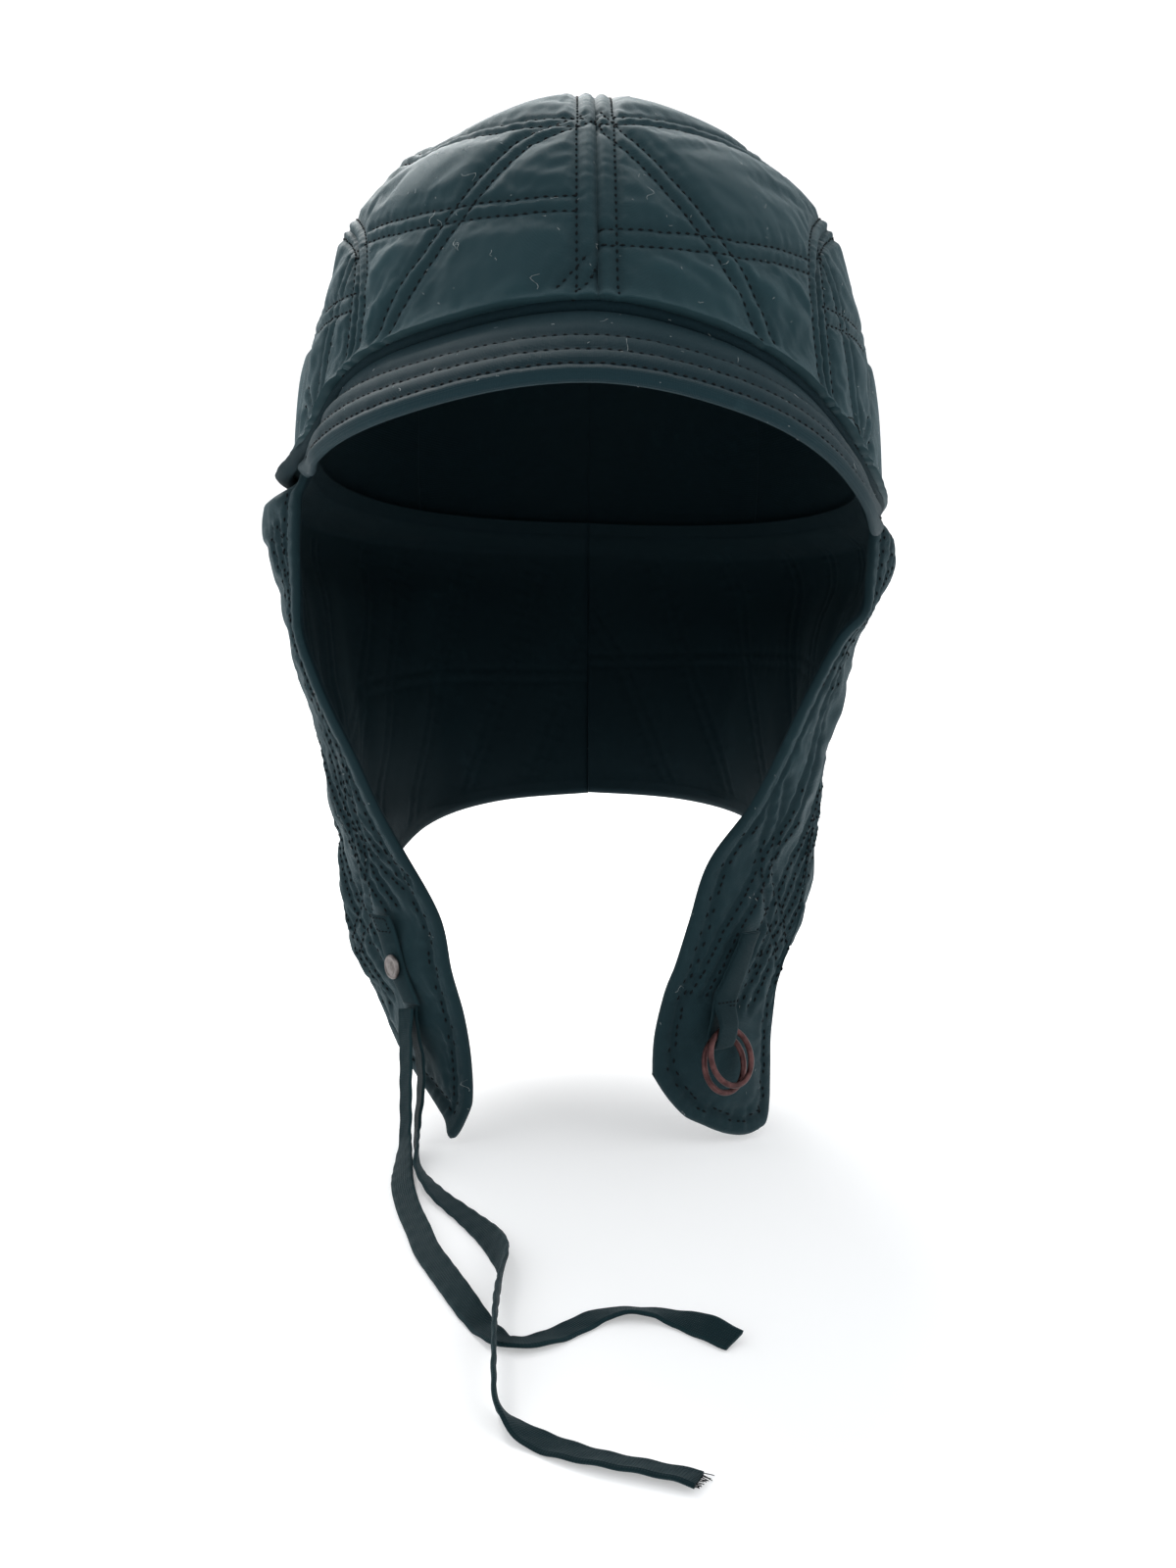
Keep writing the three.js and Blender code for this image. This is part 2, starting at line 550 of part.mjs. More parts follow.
function earFlap(side) {
  const surface = flapSurface(side);
  const hem = reader(flapHemTable, 'share', side > 0 ? 'left' : 'right');
  const folds = side > 0 ? leftFoldTable : rightFoldTable;
  const seamShare = 1 - sewnGap / flapAround;
  const crowding = 1.25;
  return wallSolid(...cells.flap, (u, v, skin) => {
    const share = seamShare * u ** crowding;
    const near = surface(share, flapSeamLevel);
    const turn = THREE.MathUtils.radToDeg(Math.atan2(near.x / crown.halfWidth, -near.y / crown.halfLength));
    const top = hemRise(turn) - roll.up - sewnGap;
    const level = mix(top, hem(share), v);
    const out = foldLift(folds, share, level) - skin * flapWall;
    return surface(share, level).addScaledVector(flapNormal(surface, side, share, level), out);
  });
}

// A place on the outside of a flap: across is measured along the flap, out is away from it
function flapPlace(side, share, level, across, out) {
  const surface = flapSurface(side);
  const folds = side > 0 ? leftFoldTable : rightFoldTable;
  const here = share + across / flapAround;
  const lift = foldLift(folds, here, level);
  return surface(here, level).addScaledVector(flapNormal(surface, side, share, level), lift + out);
}

// A tab: its outline in (out, level) pulled through its width and laid on the flap
function flapTab(side, size, outline, hole) {
  const shape = new THREE.Shape(outline);
  if (hole) {
    shape.holes.push(new THREE.Path(hole));
  }
  const pull = { depth: size.width, steps: cells.tab, bevelEnabled: false };
  const geometry = new THREE.ExtrudeGeometry(shape, pull);
  geometry.deleteAttribute('uv');
  geometry.deleteAttribute('normal');
  const merged = mergeVertices(geometry, 1e-4);
  const position = merged.getAttribute('position');
  const points = [];
  for (let i = 0; i < position.count; i += 1) {
    const level = position.getY(i);
    const share = mix(size.topShare, size.bottomShare, (size.top - level) / (size.top - size.bottom));
    const below = size.stitch - level;
    const loopShare = hole ? THREE.MathUtils.smoothstep(below, -loopStance.above, loopStance.under) : 0;
    const across = (position.getZ(i) - size.width / 2) * (1 - loopStance.narrowing * loopShare);
    const twist = loopShare * (loopStance.off - loopStance.twist * across);
    points.push(flapPlace(side, share, level, across, position.getX(i) + twist));
  }
  const corners = merged.getIndex().array;
  const triangles = [];
  for (let i = 0; i < corners.length; i += 3) {
    triangles.push([corners[i], corners[i + 1], corners[i + 2]]);
  }
  return solid(points, triangles);
}

// The tab with its end folded into a loop round the two rings
function ringTabSolid() {
  const back = tab.lift;
  const inner = back + tab.thickness;
  const depth = wire.apart + 2 * wire.radius + 2 * wire.play;
  const front = inner + depth + tab.thickness;
  const face = inner + loopShape.pad;
  const holeTop = ringTab.stitch - loopShape.holeBelow;
  const holeBottom = ringTab.bottom + tab.thickness;
  const upper = mix(ringTab.top, ringTab.stitch, 0.35);
  const lower = mix(ringTab.top, ringTab.stitch, 0.7);
  const at = (out, level) => new THREE.Vector2(out, level);
  const outline = [
    at(back, ringTab.top),
    at(back, upper),
    at(back, lower),
    at(back, ringTab.stitch),
    at(back, ringTab.bottom + loopShape.round),
    at(mix(back, front, 0.25), ringTab.bottom),
    at(mix(back, front, 0.75), ringTab.bottom),
    at(front, ringTab.bottom + loopShape.round),
    at(front, ringTab.stitch - loopShape.below),
    at(inner + loopShape.padAtStitch, ringTab.stitch),
    at(face, lower),
    at(face, upper),
    at(face, ringTab.top),
  ];
  const hole = [
    at(inner, holeTop - loopShape.holeSlant),
    at(face, holeTop),
    at(inner + depth, holeTop - loopShape.holeSlant),
    at(inner + depth, holeBottom + loopShape.holeBelow),
    at(inner + depth * 0.75, holeBottom),
    at(inner + depth * 0.25, holeBottom),
    at(inner, holeBottom + loopShape.holeBelow),
  ];
  return flapTab(1, ringTab, outline, hole);
}

// The tab that carries the snap and holds down the ties
function snapTabSolid() {
  const front = tab.lift + tab.thickness;
  const outline = [];
  for (let i = 0; i <= cells.snapTab; i += 1) {
    outline.push(new THREE.Vector2(tab.lift, mix(snapTab.top, snapTab.bottom, i / cells.snapTab)));
  }
  for (let i = cells.snapTab; i >= 0; i -= 1) {
    outline.push(new THREE.Vector2(front, mix(snapTab.top, snapTab.bottom, i / cells.snapTab)));
  }
  return flapTab(-1, snapTab, outline);
}

// The snap's round cap, turned from its outline
function snapCapSolid() {
  const profile = capTable.map(({ reach, rise }) => {
    return new THREE.Vector2(snapCap.radius * reach, snapCap.height * rise);
  });
  const t = (snapTab.top - snapCap.level) / (snapTab.top - snapTab.bottom);
  const share = mix(snapTab.topShare, snapTab.bottomShare, t);
  const surface = flapSurface(-1);
  const normal = flapNormal(surface, -1, share, snapCap.level);
  const seat = flapPlace(-1, share, snapCap.level, 0, tab.lift + tab.thickness + sewnGap);
  const geometry = new THREE.LatheGeometry(profile, snapCap.sides);
  geometry.deleteAttribute('uv');
  geometry.deleteAttribute('normal');
  geometry.applyQuaternion(new THREE.Quaternion().setFromUnitVectors(new THREE.Vector3(0, 1, 0), normal));
  geometry.translate(seat.x, seat.y, seat.z);
  return mergeVertices(geometry, 1e-4);
}

// A wire ring hanging in the loop; order is 0 for the one behind and 1 for the one in front
function wireRing(order) {
  const share = ringTab.bottomShare;
  const out = flapNormal(flapSurface(1), 1, share, ringTab.bottom);
  const offset = tab.lift + loopStance.off + tab.thickness + wire.play + wire.radius + order * wire.apart;
  const rest = ringTab.bottom + tab.thickness + sewnGap + wire.radius + hang.drop + order * hang.stagger;
  const top = flapPlace(1, share, rest, 0, offset);
  out.applyAxisAngle(new THREE.Vector3(0, 0, 1), Math.atan(loopStance.twist));
  const across = new THREE.Vector3(0, 0, 1).cross(out).normalize();
  out.applyAxisAngle(across, -radians(loopStance.lean + order * loopStance.extraLean));
  const down = across.clone().cross(out).multiplyScalar(-1);
  const middle = top.addScaledVector(down.z < 0 ? down : down.negate(), wire.ringRadius);
  const rings = [];
  for (let i = 0; i < wire.steps; i += 1) {
    const angle = (2 * Math.PI * i) / wire.steps;
    const spoke = down.clone().multiplyScalar(Math.cos(angle)).addScaledVector(across, Math.sin(angle));
    const ring = [];
    for (let k = 0; k < wire.sides; k += 1) {
      const turn = (2 * Math.PI * k) / wire.sides;
      const reach = wire.ringRadius + wire.radius * Math.cos(turn);
      const point = middle.clone().addScaledVector(spoke, reach);
      ring.push(point.addScaledVector(out, wire.radius * Math.sin(turn)));
    }
    rings.push(ring);
  }
  return ringSolid(rings, true);
}

// A flat tape along its table of places
function tieSolid(rows) {
  const width = (row) => {
    const flat = Math.cos(radians(row.lift));
    const x = flat * Math.cos(radians(row.azimuth));
    return new THREE.Vector3(x, flat * Math.sin(radians(row.azimuth)), Math.sin(radians(row.lift)));
  };
  const route = new THREE.CatmullRomCurve3(rows.map((row) => new THREE.Vector3(row.x, row.y, row.z)));
  const widths = new THREE.CatmullRomCurve3(rows.map(width));
  const half = tape.width / 2;
  const flat = half - tape.bevel;
  const thin = tape.thickness / 2;
  const rim = thin * tape.bevel;
  const section = [
    [half, -rim],
    [half, rim],
    [flat, thin],
    [-flat, thin],
    [-half, rim],
    [-half, -rim],
    [-flat, -thin],
    [flat, -thin],
  ];
  const rings = [];
  for (let i = 0; i <= tape.steps; i += 1) {
    const t = route.getUtoTmapping(i / tape.steps);
    const along = route.getTangent(t);
    const across = widths.getPoint(t).projectOnPlane(along).normalize();
    const face = along.clone().cross(across);
    rings.push(section.map(([x, y]) => {
      return route.getPoint(t).addScaledVector(across, x).addScaledVector(face, y);
    }));
  }
  return ringSolid(rings, false);
}

const hat = new THREE.Group();

function add(name, geometry, color, roughness, metalness) {
  geometry.computeVertexNormals();
  const material = new THREE.MeshStandardMaterial({ color, roughness, metalness });
  const mesh = new THREE.Mesh(geometry, material);
  mesh.name = name;
  hat.add(mesh);
}

const cloth = 0x1d3034;
const tapeCloth = 0x16262b;
const copper = 0x8c5f58;
const nickel = 0x8f8580;

add('crown_top_left', crownTop(1), cloth, 0.8, 0);
add('crown_top_right', crownTop(-1), cloth, 0.8, 0);
add('crown_side_left', crownSide(1), cloth, 0.8, 0);
add('crown_side_right', crownSide(-1), cloth, 0.8, 0);
add('hem_roll', hemRoll(), cloth, 0.8, 0);
add('peak', peak(), cloth, 0.8, 0);
add('ear_flap_left', earFlap(1), cloth, 0.8, 0);
add('ear_flap_right', earFlap(-1), cloth, 0.8, 0);
add('ring_tab', ringTabSolid(), cloth, 0.75, 0);
add('ring_front', wireRing(1), copper, 0.35, 1);
add('ring_back', wireRing(0), copper, 0.35, 1);
add('snap_tab', snapTabSolid(), cloth, 0.75, 0);
add('snap_cap', snapCapSolid(), nickel, 0.4, 1);
add('tie_outer', tieSolid(outerTieTable), tapeCloth, 0.85, 0);
add('tie_inner', tieSolid(innerTieTable), tapeCloth, 0.85, 0);

export default hat;
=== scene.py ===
# %% [markdown]
# A quilted cloth aviator hat. A hat like this is cut from flat pieces of padded nylon, sewn together
# and turned, so nothing on it is quite smooth: every stitched row pulls the wadding down and the
# cloth between the rows stands up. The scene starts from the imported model, which fixes where each
# piece is. Every piece here is modelled again in finer cloth, in the place of the solid it replaces.

# %% Load the frame
import math
import bmesh
import bpy
import numpy as np
from mathutils import Matrix, Vector
from mathutils.bvhtree import BVHTree
from mathutils.kdtree import KDTree


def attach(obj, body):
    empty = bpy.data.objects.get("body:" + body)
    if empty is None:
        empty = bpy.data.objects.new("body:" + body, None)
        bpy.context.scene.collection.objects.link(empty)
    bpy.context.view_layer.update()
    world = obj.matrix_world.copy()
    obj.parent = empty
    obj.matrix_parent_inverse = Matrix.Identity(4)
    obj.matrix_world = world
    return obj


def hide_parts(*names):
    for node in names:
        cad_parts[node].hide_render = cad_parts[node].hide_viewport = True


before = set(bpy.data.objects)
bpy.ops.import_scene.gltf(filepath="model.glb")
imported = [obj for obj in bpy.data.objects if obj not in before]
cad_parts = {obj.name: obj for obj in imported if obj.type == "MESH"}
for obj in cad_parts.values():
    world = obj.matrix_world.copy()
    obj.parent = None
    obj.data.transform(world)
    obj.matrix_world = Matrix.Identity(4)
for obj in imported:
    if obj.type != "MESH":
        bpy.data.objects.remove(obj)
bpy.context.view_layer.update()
MM = 0.001
print("the frame holds", len(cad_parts), "nodes")

# %% [markdown]
# The photograph was taken from low down and close by, so the crown looks up and away and the ties
# come towards the lens. The camera is set first, because all the rest is judged through it: it
# stands 447 mm in front of the middle of the head opening and 70 mm under it, tipped down by four
# degrees. The picture is taller than wide, so the 36 mm of the sensor lie along its height.

# %% Camera
camera_data = bpy.data.cameras.new("camera")
camera_data.lens = 31.5
camera_data.sensor_width = 36
camera_data.clip_start = 0.02
camera = bpy.data.objects.new("camera", camera_data)
camera.location = (0, -0.447, -0.070)
camera.rotation_euler = (math.radians(90 - 4.04), 0, 0)
bpy.context.scene.collection.objects.link(camera)
bpy.context.scene.camera = camera
print("the camera looks along", [round(c, 3) for c in camera.rotation_euler.to_matrix() @ Vector((0, 0, -1))])

# %% [markdown]
# Cloth and metal get their look from materials, and a material is a tree of nodes. Wiring every Math
# node by hand hides the sum that it stands for, so a small class wraps a socket: adding or
# multiplying two of them adds the Math node that does it.

# %% Shader maths
class Signal:
    """A number that changes over a surface, in a material."""

    def __init__(self, tree, socket):
        self.tree, self.socket = tree, socket

    def math(self, operation, *values):
        node = self.tree.nodes.new("ShaderNodeMath")
        node.operation = operation
        for socket, value in zip(node.inputs, values):
            if isinstance(value, Signal):
                self.tree.links.new(value.socket, socket)
            else:
                socket.default_value = value
        return Signal(self.tree, node.outputs[0])

    def __add__(self, other):
        return self.math("ADD", self, other)

    def __sub__(self, other):
        return self.math("SUBTRACT", self, other)

    def __rsub__(self, other):
        return self.math("SUBTRACT", other, self)

    def __mul__(self, other):
        return self.math("MULTIPLY", self, other)

    __radd__, __rmul__ = __add__, __mul__


print("sums that make nodes:", [sign for sign in ("add", "sub", "mul") if hasattr(Signal, f"__{sign}__")])

# %% [markdown]
# Every other node comes from one method, which takes the node's kind, its settings and what goes into
# its sockets. The settings come first, because some of them change which sockets there are. Colours
# are mixed by Mix nodes, because a Math node would turn them grey.

# %% A material in the making
class Finish:
    """A material in the making."""

    def __init__(self, name):
        self.material = bpy.data.materials.new(name)
        self.material.use_nodes = True
        self.tree = self.material.node_tree
        self.shader = self.tree.nodes["Principled BSDF"]

    def node(self, kind, settings=None, sockets=None, out=0):
        node = self.tree.nodes.new(kind)
        for key, value in (settings or {}).items():
            if key == "stops":
                for place, shade in value[2:]:
                    node.color_ramp.elements.new(place)
                for stop, (place, shade) in zip(node.color_ramp.elements, sorted(value)):
                    stop.position, stop.color = place, (*shade, 1)
            else:
                setattr(node, key, value)
        for key, value in (sockets or {}).items():
            if isinstance(value, Signal):
                self.tree.links.new(value.socket, node.inputs[key])
            else:
                node.inputs[key].default_value = value
        return Signal(self.tree, node.outputs[out])

    def attribute(self, name):
        return self.node("ShaderNodeAttribute", {"attribute_name": name}, out="Fac")

    def noise(self, place, scale, detail=3.0, roughness=0.55):
        return self.node("ShaderNodeTexNoise", None,
                         {"Vector": place, "Scale": scale, "Detail": detail, "Roughness": roughness}, "Fac")

    def blend(self, share, low, high):
        """A colour between two others."""
        return self.node("ShaderNodeMix", {"data_type": "RGBA"}, {0: share, 6: low, 7: high}, 2)

    def spread(self, signal, low, high, to_low=0.0, to_high=1.0):
        """Stretches the part of a number from low to high over a new range."""
        return self.node("ShaderNodeMapRange", None, {0: signal, 1: low, 2: high, 3: to_low, 4: to_high})

    def wear(self, **sockets):
        """Feeds the shader: a name with underscores is the socket's own name with spaces."""
        for name, value in sockets.items():
            socket = self.shader.inputs[name.replace("_", " ").title().replace("Ior", "IOR")]
            if isinstance(value, Signal):
                self.tree.links.new(value.socket, socket)
            else:
                socket.default_value = value
        return self.material


print("a finish has", len(Finish("trial").shader.inputs), "sockets to set")
bpy.data.materials.remove(bpy.data.materials["trial"])

# %% [markdown]
# The hat hangs over a pale table. The ties reach down to it and lie on it, so the table's height is
# theirs. One sheet makes the table and the wall behind: flat where the ties lie, then swept up in a
# wide curve, so that no line shows where one ends and the other starts.

# %% Table and backdrop
TABLE = -203 * MM
flat_run, sweep_radius = 5.0, 0.8
sweep = bmesh.new()
bmesh.ops.create_grid(sweep, x_segments=4, y_segments=160, size=0.5)
for corner in sweep.verts:
    along = (corner.co.y + 0.5) * 8
    rise = max(0.0, along - flat_run)
    turn = min(rise / sweep_radius, math.pi / 2)
    past = max(0.0, rise - sweep_radius * math.pi / 2)
    corner.co = (corner.co.x * 9, -4 + min(along, flat_run) + sweep_radius * math.sin(turn),
                 TABLE + sweep_radius * (1 - math.cos(turn)) + past)
stage_mesh = bpy.data.meshes.new("backdrop")
sweep.to_mesh(stage_mesh)
sweep.free()
backdrop = bpy.data.objects.new("backdrop", stage_mesh)
bpy.context.scene.collection.objects.link(backdrop)
for face in stage_mesh.polygons:
    face.use_smooth = True
white = Finish("table_white")
white.wear(base_color=(0.72, 0.72, 0.725, 1), roughness=0.8, specular_ior_level=0.2,
           emission_color=(1, 1, 1, 1), emission_strength=0.34)
stage_mesh.materials.append(white.material)
print("the table lies at", TABLE)

# %% [markdown]
# Three soft lamps and a pale sky: a strong one high up behind the hat, which draws the bright line
# along the top of the crown and the peak, and two weak ones in front, one on each side of the lens,
# which open the shadows a little. Cloth this dark shows its shape almost only by what it reflects, so
# the lamps are large and stand close.

# %% Lamps and sky
def lamp(name, place, aim, size, power, colour):
    data = bpy.data.lights.new(name, "AREA")
    data.shape = "DISK"
    data.size = size
    data.energy = power
    data.color = colour
    light = bpy.data.objects.new(name, data)
    light.location = place
    light.rotation_euler = (Vector(aim) - Vector(place)).to_track_quat("-Z", "Y").to_euler()
    bpy.context.scene.collection.objects.link(light)


lamp("overhead", (-0.22, 0.85, 1.0), (0, 0, 0.05), 1.0, 34, (1, 0.995, 0.98))
lamp("beside_lens", (-0.8, -1.0, 0.45), (0, 0, -0.05), 0.8, 2.5, (0.97, 0.99, 1))
lamp("other_side", (0.95, -0.85, 0.45), (0, 0, -0.05), 0.8, 3.0, (0.97, 0.99, 1))
world = bpy.data.worlds.new("sky")
bpy.context.scene.world = world
world.use_nodes = True
world.node_tree.nodes["Background"].inputs["Color"].default_value = (0.95, 0.98, 1, 1)
world.node_tree.nodes["Background"].inputs["Strength"].default_value = 0.88
bpy.context.scene.view_settings.view_transform = "Standard"

# %% [markdown]
# A pattern cutter works from a table of measurements, and so does this script. A table has a few
# named columns, and a reader runs a smooth curve through one of them, so a surface can be asked for
# at any place between two rows. The numbers are millimetres and degrees, and they are worked on a
# whole column at a time, because a cloth surface has tens of thousands of places.

# %% Tables of measurements
def table(names, *rows):
    return {name: np.array(column, float) for name, column in zip(names.split(), zip(*rows))}


def reader(rows, key, column):
    x, y = rows[key], rows[column]
    after, before = [*range(1, len(x)), len(x) - 1], [0, *range(len(x) - 1)]
    slopes = (y[after] - y[before]) / (x[after] - x[before])

    def read(place):
        place = np.clip(place, x[0], x[-1])
        i = np.clip(np.searchsorted(x, place) - 1, 0, len(x) - 2)
        span = x[i + 1] - x[i]
        t = (place - x[i]) / span
        ease = y[i] + (y[i + 1] - y[i]) * t * t * (3 - 2 * t)
        return ease + t * (1 - t) ** 2 * span * slopes[i] + t * t * (t - 1) * span * slopes[i + 1]

    return read


def vectors(x, y, z):
    return np.stack(np.broadcast_arrays(np.asarray(x, float), np.asarray(y, float), np.asarray(z, float)), -1)


def mix(low, high, share):
    return low + (high - low) * share


def unit(directions):
    return directions / np.maximum(np.linalg.norm(directions, axis=-1, keepdims=True), 1e-9)


halfway = reader(table("x y", (0, 0), (1, 1)), "x", "y")(0.5)
print("halfway between rows at 0 and 1 a reader gives", float(halfway))

# %% [markdown]
# The crown's lower edge is the line that everything else hangs from: the roll, the peak and the
# flaps. Going round the head from the nape, the table says how high the edge lies, and how far the
# roll flares out there.

# %% The line of the rolled edge
hem_table = table(
    "turn rise flare",
    (-180, -10, 0), (-130, -9, 0.3), (-100, -7, 1.2), (-82, -5, 2.6), (-70, -2.4, 1.6), (-60, 1, 0.6),
    (-45, 14, 0), (-25, 20, 0), (0, 24, 0), (20, 19.2, 0), (36, 11.2, 0), (52, -1.2, 0),
    (65, -10.2, 0.4), (80, -14.6, 1.2), (100, -15, 0.8), (130, -14, 0.2), (180, -10, 0),
)
hem_rise = reader(hem_table, "turn", "rise")
hem_flare = reader(hem_table, "turn", "flare")
print("the rolled edge rises from", hem_rise(180), "at the nape to", hem_rise(0), "mm over the brow")

# %% [markdown]
# A sheet of cloth is worked out on a grid: u runs one way over it and v the other, both from 0 to 1.
# The lines of the grid can be drawn together at the ends, because a hem turns sharply there and the
# middle of the sheet doesn't. The mesh itself comes from the grid operator, and its corners are
# matched with the lines of the grid by where they lie on the flat.

# %% Grids
def crowd(share, amount):
    """Draws the lines of a grid together at both ends, where a hem turns."""
    return share - amount * np.sin(2 * math.pi * share) / (2 * math.pi)


def sheet_grid(columns, rows, crowding=(0.0, 0.0)):
    """u and v for every crossing of a grid, column by column."""
    u = crowd(np.linspace(0, 1, columns + 1), crowding[0])
    v = crowd(np.linspace(0, 1, rows + 1), crowding[1])
    return np.repeat(u, rows + 1), np.tile(v, columns + 1)


def grid_lines(flat, columns, rows):
    """Which column and which row of the grid each corner of a flat grid is on."""
    return [np.rint((flat[:, axis] + 0.5) * count).astype(int) for axis, count in enumerate((columns, rows))]


def lay_cloth(body, crossing, u, v, size):
    """Keeps u and v as the sheet's own map; size is that of the flat sheet in mm."""
    cloth_map = body.loops.layers.uv.new("cloth")
    across, along = u[crossing] * size[0] / 100, v[crossing] * size[1] / 100
    for face in body.faces:
        for loop in face.loops:
            loop[cloth_map].uv = (across[loop.vert.index], along[loop.vert.index])


print("a grid of 4 by 3 cells has", len(sheet_grid(4, 3)[0]), "crossings")

# %% [markdown]
# Every soft piece of the hat is a sheet of padded cloth with an outer and an inner face. It starts as two
# flat grids lying a little apart, joined all round by a bridge, which is a closed body. Each corner of it is
# then moved to its place, on the outer face or on the inner one. The sheet keeps u and v as its own map, so a
# woven pattern follows the cloth and not the room. It also keeps how far the cloth stands up, because the
# colour is a little paler there, as dust and wear, and painted darker where the cloth lies low, as shade.

# %% A closed sheet of cloth
def new_piece(name, body):
    """Turns a finished bmesh, with its faces outwards, into an object."""
    if body.calc_volume(signed=True) < 0:
        bmesh.ops.reverse_faces(body, faces=body.faces[:])
    for face in body.faces:
        face.smooth = True
    mesh = bpy.data.meshes.new(name)
    body.to_mesh(mesh)
    body.free()
    piece = bpy.data.objects.new(name, mesh)
    bpy.context.scene.collection.objects.link(piece)
    return piece


def keep_stand(piece, values):
    layer = piece.data.attributes.new("stand", "FLOAT", "POINT")
    layer.data.foreach_set("value", values.astype(np.float32))


def sheet_body(name, columns, rows, size, u, v, outer, inner, stand, lined=False):
    """outer and inner are places in mm at every crossing, stand is how far the cloth stands up."""
    body = bmesh.new()
    bmesh.ops.create_grid(body, x_segments=columns, y_segments=rows, size=0.5)
    copy = bmesh.ops.duplicate(body, geom=body.faces[:])["geom"]
    lower = [part for part in copy if isinstance(part, bmesh.types.BMVert)]
    bmesh.ops.translate(body, verts=lower, vec=(0, 0, -1))
    bmesh.ops.bridge_loops(body, edges=[edge for edge in body.edges if edge.is_boundary])
    bmesh.ops.recalc_face_normals(body, faces=body.faces[:])
    flat = np.array([corner.co for corner in body.verts])
    column, row = grid_lines(flat, columns, rows)
    crossing, below = column * (rows + 1) + row, flat[:, 2] < -0.5
    for corner, spot in zip(body.verts, np.where(below[:, None], inner[crossing], outer[crossing]) * MM):
        corner.co = spot
    lay_cloth(body, crossing, u, v, size)
    for face in body.faces:
        face.material_index = int(lined and all(below[corner.index] for corner in face.verts))
    piece = new_piece(name, body)
    keep_stand(piece, np.where(below, 0.25, stand[crossing]))
    return piece


trial = sheet_body("trial", 4, 3, (40, 30), *sheet_grid(4, 3), vectors(*sheet_grid(4, 3), 1),
                   vectors(*sheet_grid(4, 3), 0), np.zeros(20))
print("a sheet of 4 by 3 cells has", len(trial.data.vertices), "corners")
print("and", len(trial.data.polygons), "faces")
bpy.data.meshes.remove(trial.data)

# %% [markdown]
# A finished piece carries its materials, rides on the hat's one body, and hides the plain solids that it
# stands for. That is the same three steps for each piece, so one helper does them and prints the size of what
# was made.

# %% Finishing a piece
def finish_piece(piece, material, slot, *nodes):
    """Gives a piece its materials, its ride and the nodes that it stands for."""
    for layer in material if isinstance(material, tuple) else (material,):
        piece.data.materials.append(layer)
    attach(piece, "root")
    if nodes:
        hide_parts(*nodes)
    faces = sum(len(face.vertices) - 2 for face in piece.data.polygons)
    low, high = np.array(piece.bound_box).min(0), np.array(piece.bound_box).max(0)
    print(piece.name, faces, "triangles, from", np.round(low * 1000, 1), "to", np.round(high * 1000, 1), "mm")


print("materials so far:", [material.name for material in bpy.data.materials])

# %% [markdown]
# Padded cloth is never as even as a formula. Between its stitched rows it has a little more length
# than it needs, so the wadding blows it up and it buckles into small folds that run towards the
# stitches. That is left to a cloth simulation. It works on a coarse copy of the sheet, which has a
# third of its lines each way and is pinned along its rows and edges.

# %% A coarse copy, pinned at its stitches
def coarse_copy(places, loose):
    """A sheet through places in mm, held where loose is 0; also its grid lines and its start."""
    across, along = places.shape[0] - 1, places.shape[1] - 1
    body = bmesh.new()
    bmesh.ops.create_grid(body, x_segments=across, y_segments=along, size=0.5)
    crossing = tuple(grid_lines(np.array([corner.co for corner in body.verts]), across, along))
    start = places[crossing] * MM
    for corner, spot in zip(body.verts, start):
        corner.co = spot
    body.normal_update()
    if sum(corner.normal.dot(corner.co) for corner in body.verts) < 0:
        bmesh.ops.reverse_faces(body, faces=body.faces[:])
    mesh = bpy.data.meshes.new("settling")
    body.to_mesh(mesh)
    body.free()
    sheet = bpy.data.objects.new("settling", mesh)
    bpy.context.scene.collection.objects.link(sheet)
    held = sheet.vertex_groups.new(name="held")
    for k in np.flatnonzero(loose[crossing] < 0.5):
        held.add([int(k)], 1.0, "REPLACE")
    return sheet, crossing, start


print("simulations are", "run")

# %% [markdown]
# What the coarse copy moved has to be brought back to the fine sheet. The movement is read between
# its lines, one way and then the other, and smoothed twice each way, so that no coarse facet is left
# to see.

# %% From the coarse copy to the fine sheet
def refined(shift, columns, rows, step):
    """The coarse sheet's movement at every crossing of the fine one."""
    for axis, count in ((0, columns), (1, rows)):
        at = np.clip(np.arange(count + 1) / step, 0, shift.shape[axis] - 1)
        low = np.minimum(at.astype(int), shift.shape[axis] - 2)
        part = (at - low).reshape((-1, 1, 1) if axis == 0 else (1, -1, 1))
        part = part * part * (3 - 2 * part) * 0.5 + part * 0.5
        shift = np.take(shift, low, axis) * (1 - part) + np.take(shift, low + 1, axis) * part
    for axis in (0, 1, 0, 1):
        wide = np.pad(shift, [(1, 1) if k == axis else (0, 0) for k in range(3)], mode="edge")
        before, after = range(0, wide.shape[axis] - 2), range(2, wide.shape[axis])
        shift = 0.5 * shift + 0.25 * (np.take(wide, before, axis) + np.take(wide, after, axis))
    return shift.reshape(-1, 3)


print("3 by 3 coarse lines give", len(refined(np.zeros((3, 3, 3)), 4, 4, 2)), "fine crossings")

# %% [markdown]
# The copy swells under a light pressure from inside, without weight, for twenty frames. The cloth is
# let out by three percent, which is the length it has too much. Its movement is limited softly,
# because the real pads are almost flat. The rows themselves are pressed in afterwards, by the relief.

# %% Cloth that settles over its padding
settling_frames = 20


